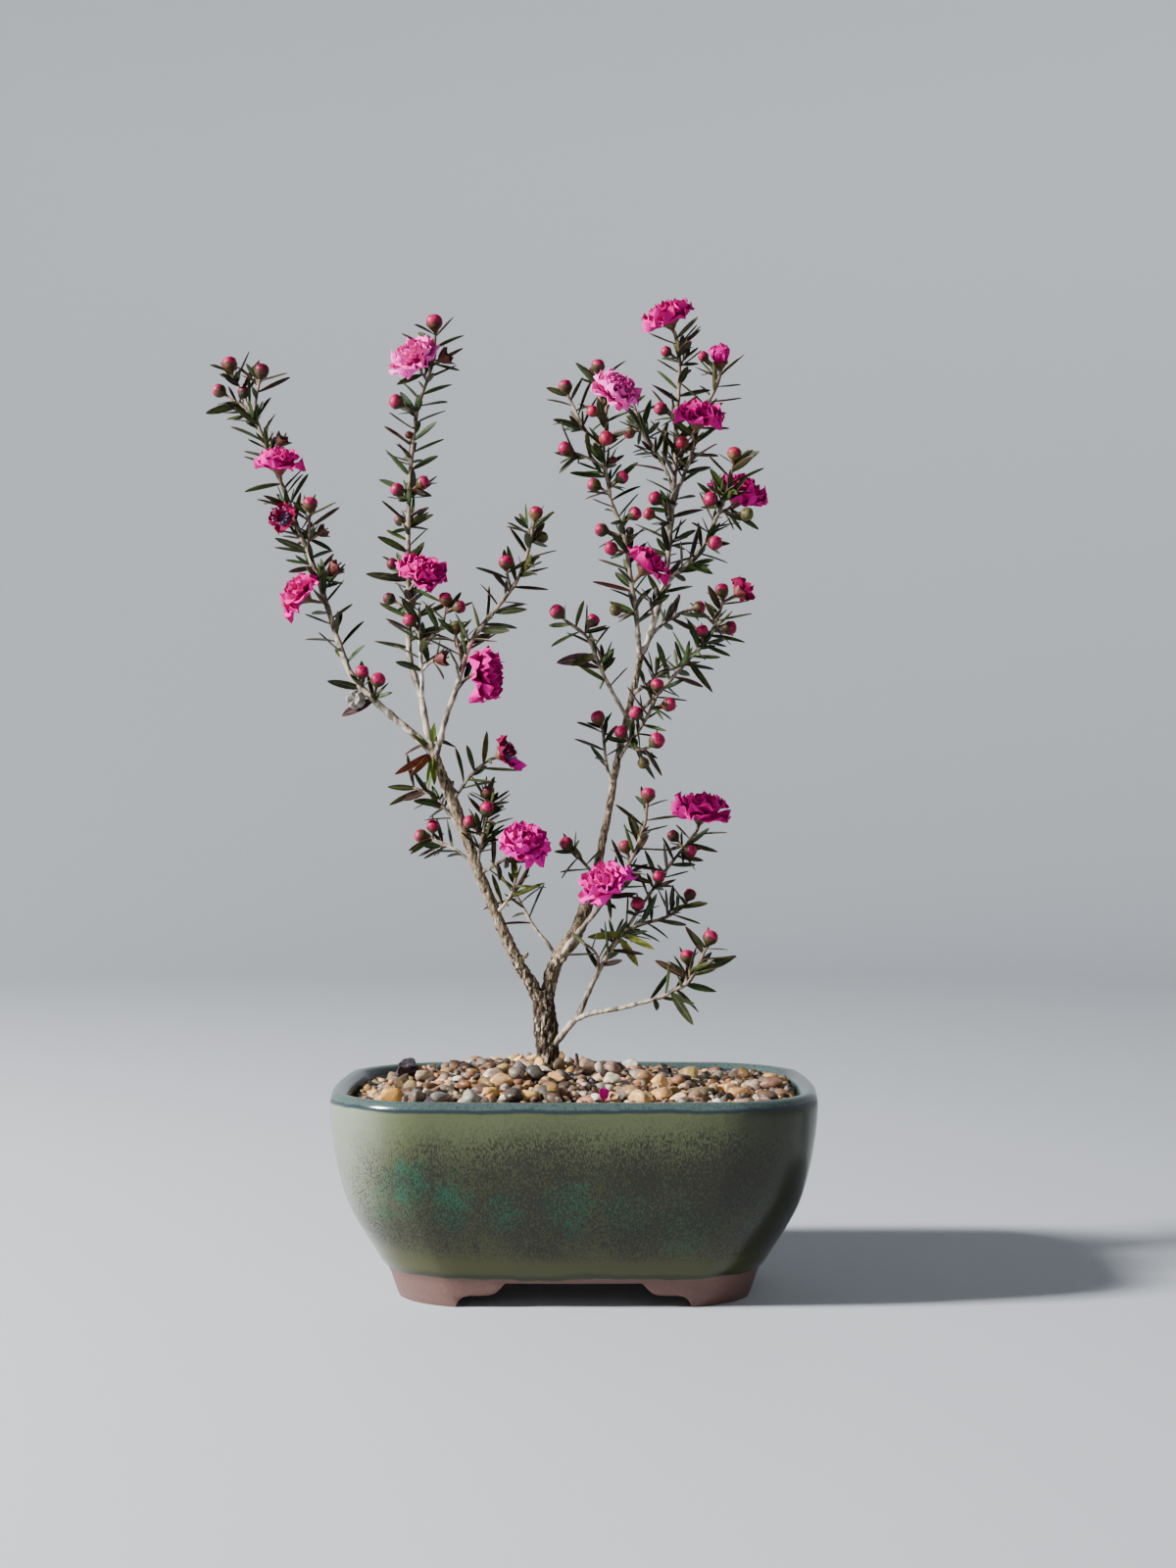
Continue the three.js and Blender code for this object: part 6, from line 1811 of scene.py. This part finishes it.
@dataclass
class Flower:
    """A double flower on its calyx, carried by a pedicel from its stem's wood."""

    bloom: Bloom
    index: int
    crown: Crown
    stamps: dict[bool, list[Mesh]]
    fresh_petal: int = 6

    def calyx(self, body: Body, place: Matrix) -> None:
        """Adds the cup and its five sepals.

        Args:
            body: What they are added to.
            place: The flower's place.
        """
        profile = ((0, 0), (0.7, 0), (1.2, 0.5), (1.9, 1.4), (2.3, 2.3), (2.1, 2.6), (1.2, 2.9), (0, 3.2))
        verts = body.turned(profile, 15, 1)
        for vert in verts:
            if vert.co.z > 2 and math.hypot(vert.co.x, vert.co.y) > 1.8:
                vert.co = widened(vert.co, 1 + 0.5 * lobe(vert.co, 1.5))
        body.coloured(verts, mixed((0.115, 0.10, 0.035), (0.20, 0.03, 0.035), draw(self.index, 71)))
        bmesh.ops.transform(body.bm, matrix=place, verts=verts)

    def heart(self, body: Body, place: Matrix) -> None:
        """Adds the disc and stamens of a spent flower.

        Args:
            body: What they are added to.
            place: The flower's place.
        """
        verts = body.turned(((0, 2.9), (2.3, 3.0), (2.5, 3.6), (1.7, 4.1), (0.6, 3.7), (0, 3.8)), 12, 2)
        body.coloured(verts, (0.050, 0.032, 0.095))
        bmesh.ops.transform(body.bm, matrix=place, verts=verts)
        for number in range(14):
            way = Vector((math.cos(number * 2.4), math.sin(number * 2.4), 0))
            start = way * 1.9 + Vector((0, 0, 3.4))
            end = start + way * (0.3 + draw(number, self.index + 72)) + Vector((0, 0, 2.0 + draw(number, 73)))
            line = [place @ start, place @ ((start + end) / 2 + Vector((0, 0, 0.3))), place @ end]
            body.sweep(line, [0.13, 0.12, 0.26], 5, ((0.12, 0.03, 0.07), (0.20, 0.17, 0.26)), 2)

    def petals(self, body: Body, place: Matrix) -> None:
        """Adds the petals.

        Args:
            body: What they are added to.
            place: The flower's place.
        """
        radius, index, number = self.bloom.across / 2, self.index, 0
        for ring, whorl in enumerate(WHORLS[self.bloom.form]):
            for one in range(whorl.count):
                number += 1
                angle = math.tau * one / whorl.count + ring * 0.63 + index
                angle += 0.25 * (draw(number, index) - 0.5)
                tilt = math.radians(whorl.tilt + 16 * (draw(number, index + 81) - 0.5))
                length = radius * whorl.length * (0.92 + 0.16 * draw(number, index + 82))
                width = radius * whorl.width * (0.9 + 0.2 * draw(number, index + 83))
                turn = place @ Matrix.Rotation(angle, 4, "Z")
                share = 0.14 * ring + 0.3 * draw(one * 3 + ring, index + 61)
                colour = mixed(*self.bloom.hue.value, min(0.85, share))
                if index == self.fresh_petal and ring == 0 and turn.to_3x3().col[1].x > 0.45:
                    length, width, colour = length * 1.5, width * 1.3, Hue.ROSY.value[0]
                turn @= Matrix.Translation((0, 0.4, whorl.height)) @ Matrix.Rotation(tilt, 4, "X")
                shapes = self.stamps[whorl.narrow]
                shape = shapes[int(draw(number, index + 84) * len(shapes))]
                body.stamp(shape, turn @ Matrix.Diagonal((width, length, length, 1)), {0: colour})

    def build(self, finishes: dict[str, Material]) -> None:
        """Makes the flower.

        Args:
            finishes: The finishes by name.
        """
        facing = Vector(self.bloom.facing).normalized()
        foot = seen(self.bloom.at) - facing * self.crown.pedicel_reach
        place, spent = directed(foot, facing), self.bloom.form is Form.SPENT
        body = Body()
        self.calyx(body, place)
        wood = self.crown.wood_near(self.bloom.stem, foot)
        if (wood - foot).length > 0.8:
            line = [wood, (wood + foot) / 2 - facing * 0.3, foot + facing * 0.4]
            body.sweep(line, [0.55, 0.5, 0.75], 8, ((0.13, 0.08, 0.04),) * 2, 1)
        self.petals(body, place)
        if spent:
            self.heart(body, place)
        node, slot = f"bloom_{self.index + 1:02d}", Slot.SPENT_PETAL if spent else Slot.PETAL
        materials = [finishes[name] for name in ("petal", "calyx", "heart")]
        body.shown("ruffled_" + node, node, slot, 70, materials)


@dataclass
class SeedCapsule:
    """The grey woody capsule of an old flower, with five valves."""

    at: Point = (-69.4, -3.6, 184.6)
    facing: Point = (-0.3, -0.9, 0.1)
    size: float = 6
    profile: Profile = (
        (0, 0), (0.14, 0), (0.32, 0.08), (0.48, 0.3), (0.52, 0.5), (0.46, 0.72), (0.34, 0.86), (0.22, 0.8),
        (0, 0.66),
    )

    def build(self, crown: Crown, finish: Material) -> None:
        """Makes the capsule.

        Args:
            crown: What it grows on.
            finish: Its finish.
        """
        body = Body()
        facing = Vector(self.facing).normalized()
        foot = seen(self.at) - facing * self.size / 2
        verts = body.turned(self.profile, 30)
        for vert in verts:
            rim = 0.07 * math.cos(5 * math.atan2(vert.co.y, vert.co.x) + math.pi) if vert.co.z > 0.7 else 0
            vert.co = widened(vert.co, 1 - 0.16 * lobe(vert.co) ** 6, rim)
        bmesh.ops.transform(body.bm, matrix=directed(foot, facing) @ Matrix.Scale(self.size, 4), verts=verts)
        body.coloured(verts, (0.27, 0.245, 0.22))
        wood = crown.paths["far_left_stem"][0].nearest(foot)
        body.sweep([wood, foot + facing * 0.6], [0.5, 0.8], 8, ((0.25, 0.2, 0.16),) * 2)
        body.shown("woody_capsule", "seed_capsule", Slot.BARK, 50, [finish])


@dataclass
class Studio:
    """The camera, the pale floor that curves up into a wall all round, and the soft lights."""

    lens: float = 58.25
    sensor: float = 36
    floor: Colour = (0.42, 0.44, 0.46)
    flat_reach: float = 1.3
    bend_radius: float = 0.9
    wall_top: float = 2.6
    key_power: float = 150
    fill_power: float = 0.3
    sky: Colour = (0.80, 0.86, 0.93)
    sky_strength: float = 0.03

    def light(self, name: str, place: Point, aim: Point, size: float, power: float, tint: Colour) -> None:
        """Adds a soft lamp.

        Args:
            name: Its name.
            place: Where it is, in metres.
            aim: What it points at, in metres.
            size: Its width, in metres.
            power: Its power.
            tint: Its colour.
        """
        lamp = bpy.data.lights.new(name, "AREA")
        lamp.size, lamp.energy, lamp.color = size, power, tint
        held = placed(name, lamp)
        held.location = place
        held.rotation_euler = (Vector(aim) - Vector(place)).to_track_quat("-Z", "Y").to_euler()

    def build(self) -> None:
        """Makes the studio."""
        camera = bpy.data.cameras.new("camera")
        camera.lens, camera.sensor_width, camera.clip_start = self.lens, self.sensor, 0.01
        held = placed("camera", camera)
        held.location, held.rotation_euler = ROW_FRAME @ EYE, (math.pi / 2, 0, 0)
        bpy.context.scene.camera = held
        profile = [(0, 0)]
        for turn in (math.pi / 2 * i / 12 for i in range(13)):
            rise = self.bend_radius * (1 - math.cos(turn))
            profile.append((self.flat_reach + self.bend_radius * math.sin(turn), rise))
        body = Body()
        body.turned([*profile, (profile[-1][0], self.wall_top)], 64)
        mesh = body.kept("floor")
        mesh.shade_smooth()
        mesh.materials.append(Shader("pale_floor").done(self.floor, 0.6))
        placed("floor", mesh)
        world = bpy.data.worlds.new("soft_sky")
        world.use_nodes = True
        background = world.node_tree.nodes["Background"]
        background.inputs["Color"].default_value = (*self.sky, 1)
        background.inputs["Strength"].default_value = self.sky_strength
        bpy.context.scene.world = world
        self.light("window", (-1.5, -0.5, 0.95), (0, 0, 0.16), 0.24, self.key_power, (0.98, 0.98, 1.0))
        self.light("fill", (1.2, -1.2, 0.6), (0, 0, 0.15), 1.2, self.fill_power, (0.9, 0.95, 1.0))


def dress_hidden(finishes: dict[str, Material]) -> None:
    """Gives the CAD nodes that stay their finishes.

    Args:
        finishes: The finishes by name.
    """
    for node, finish in (("soil", "mix"), ("drain_screen_left", "mesh"), ("drain_screen_right", "mesh")):
        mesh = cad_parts[node].data
        mesh.materials.clear()
        mesh.materials.append(finishes[finish])
        LOG.info("%s keeps its own mesh", node)


def main() -> None:
    """Makes the studio and every piece."""
    logging.basicConfig(level=logging.INFO, format="%(message)s")
    Studio().build()
    finishes = {name: finish.make() for name, finish in FINISHES.items()}
    dress_hidden(finishes)
    Pot().build(finishes["glaze"])
    Gravel().build(finishes)
    Trunk().build(finishes["bark"])
    crown = Crown()
    for index, stem in enumerate(STEMS):
        crown.build_stem(stem, index, finishes)
    shapes = {
        False: [petal_stamp(1.0, 0.10, salt) for salt in range(6)],
        True: [petal_stamp(0.86, 0.22, salt + 10) for salt in range(5)],
    }
    for index, bloom in enumerate(BLOOMS):
        Flower(bloom, index, crown, shapes).build(finishes)
    SeedCapsule().build(crown, finishes["capsule"])
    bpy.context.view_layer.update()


if __name__ == "__main__":
    main()
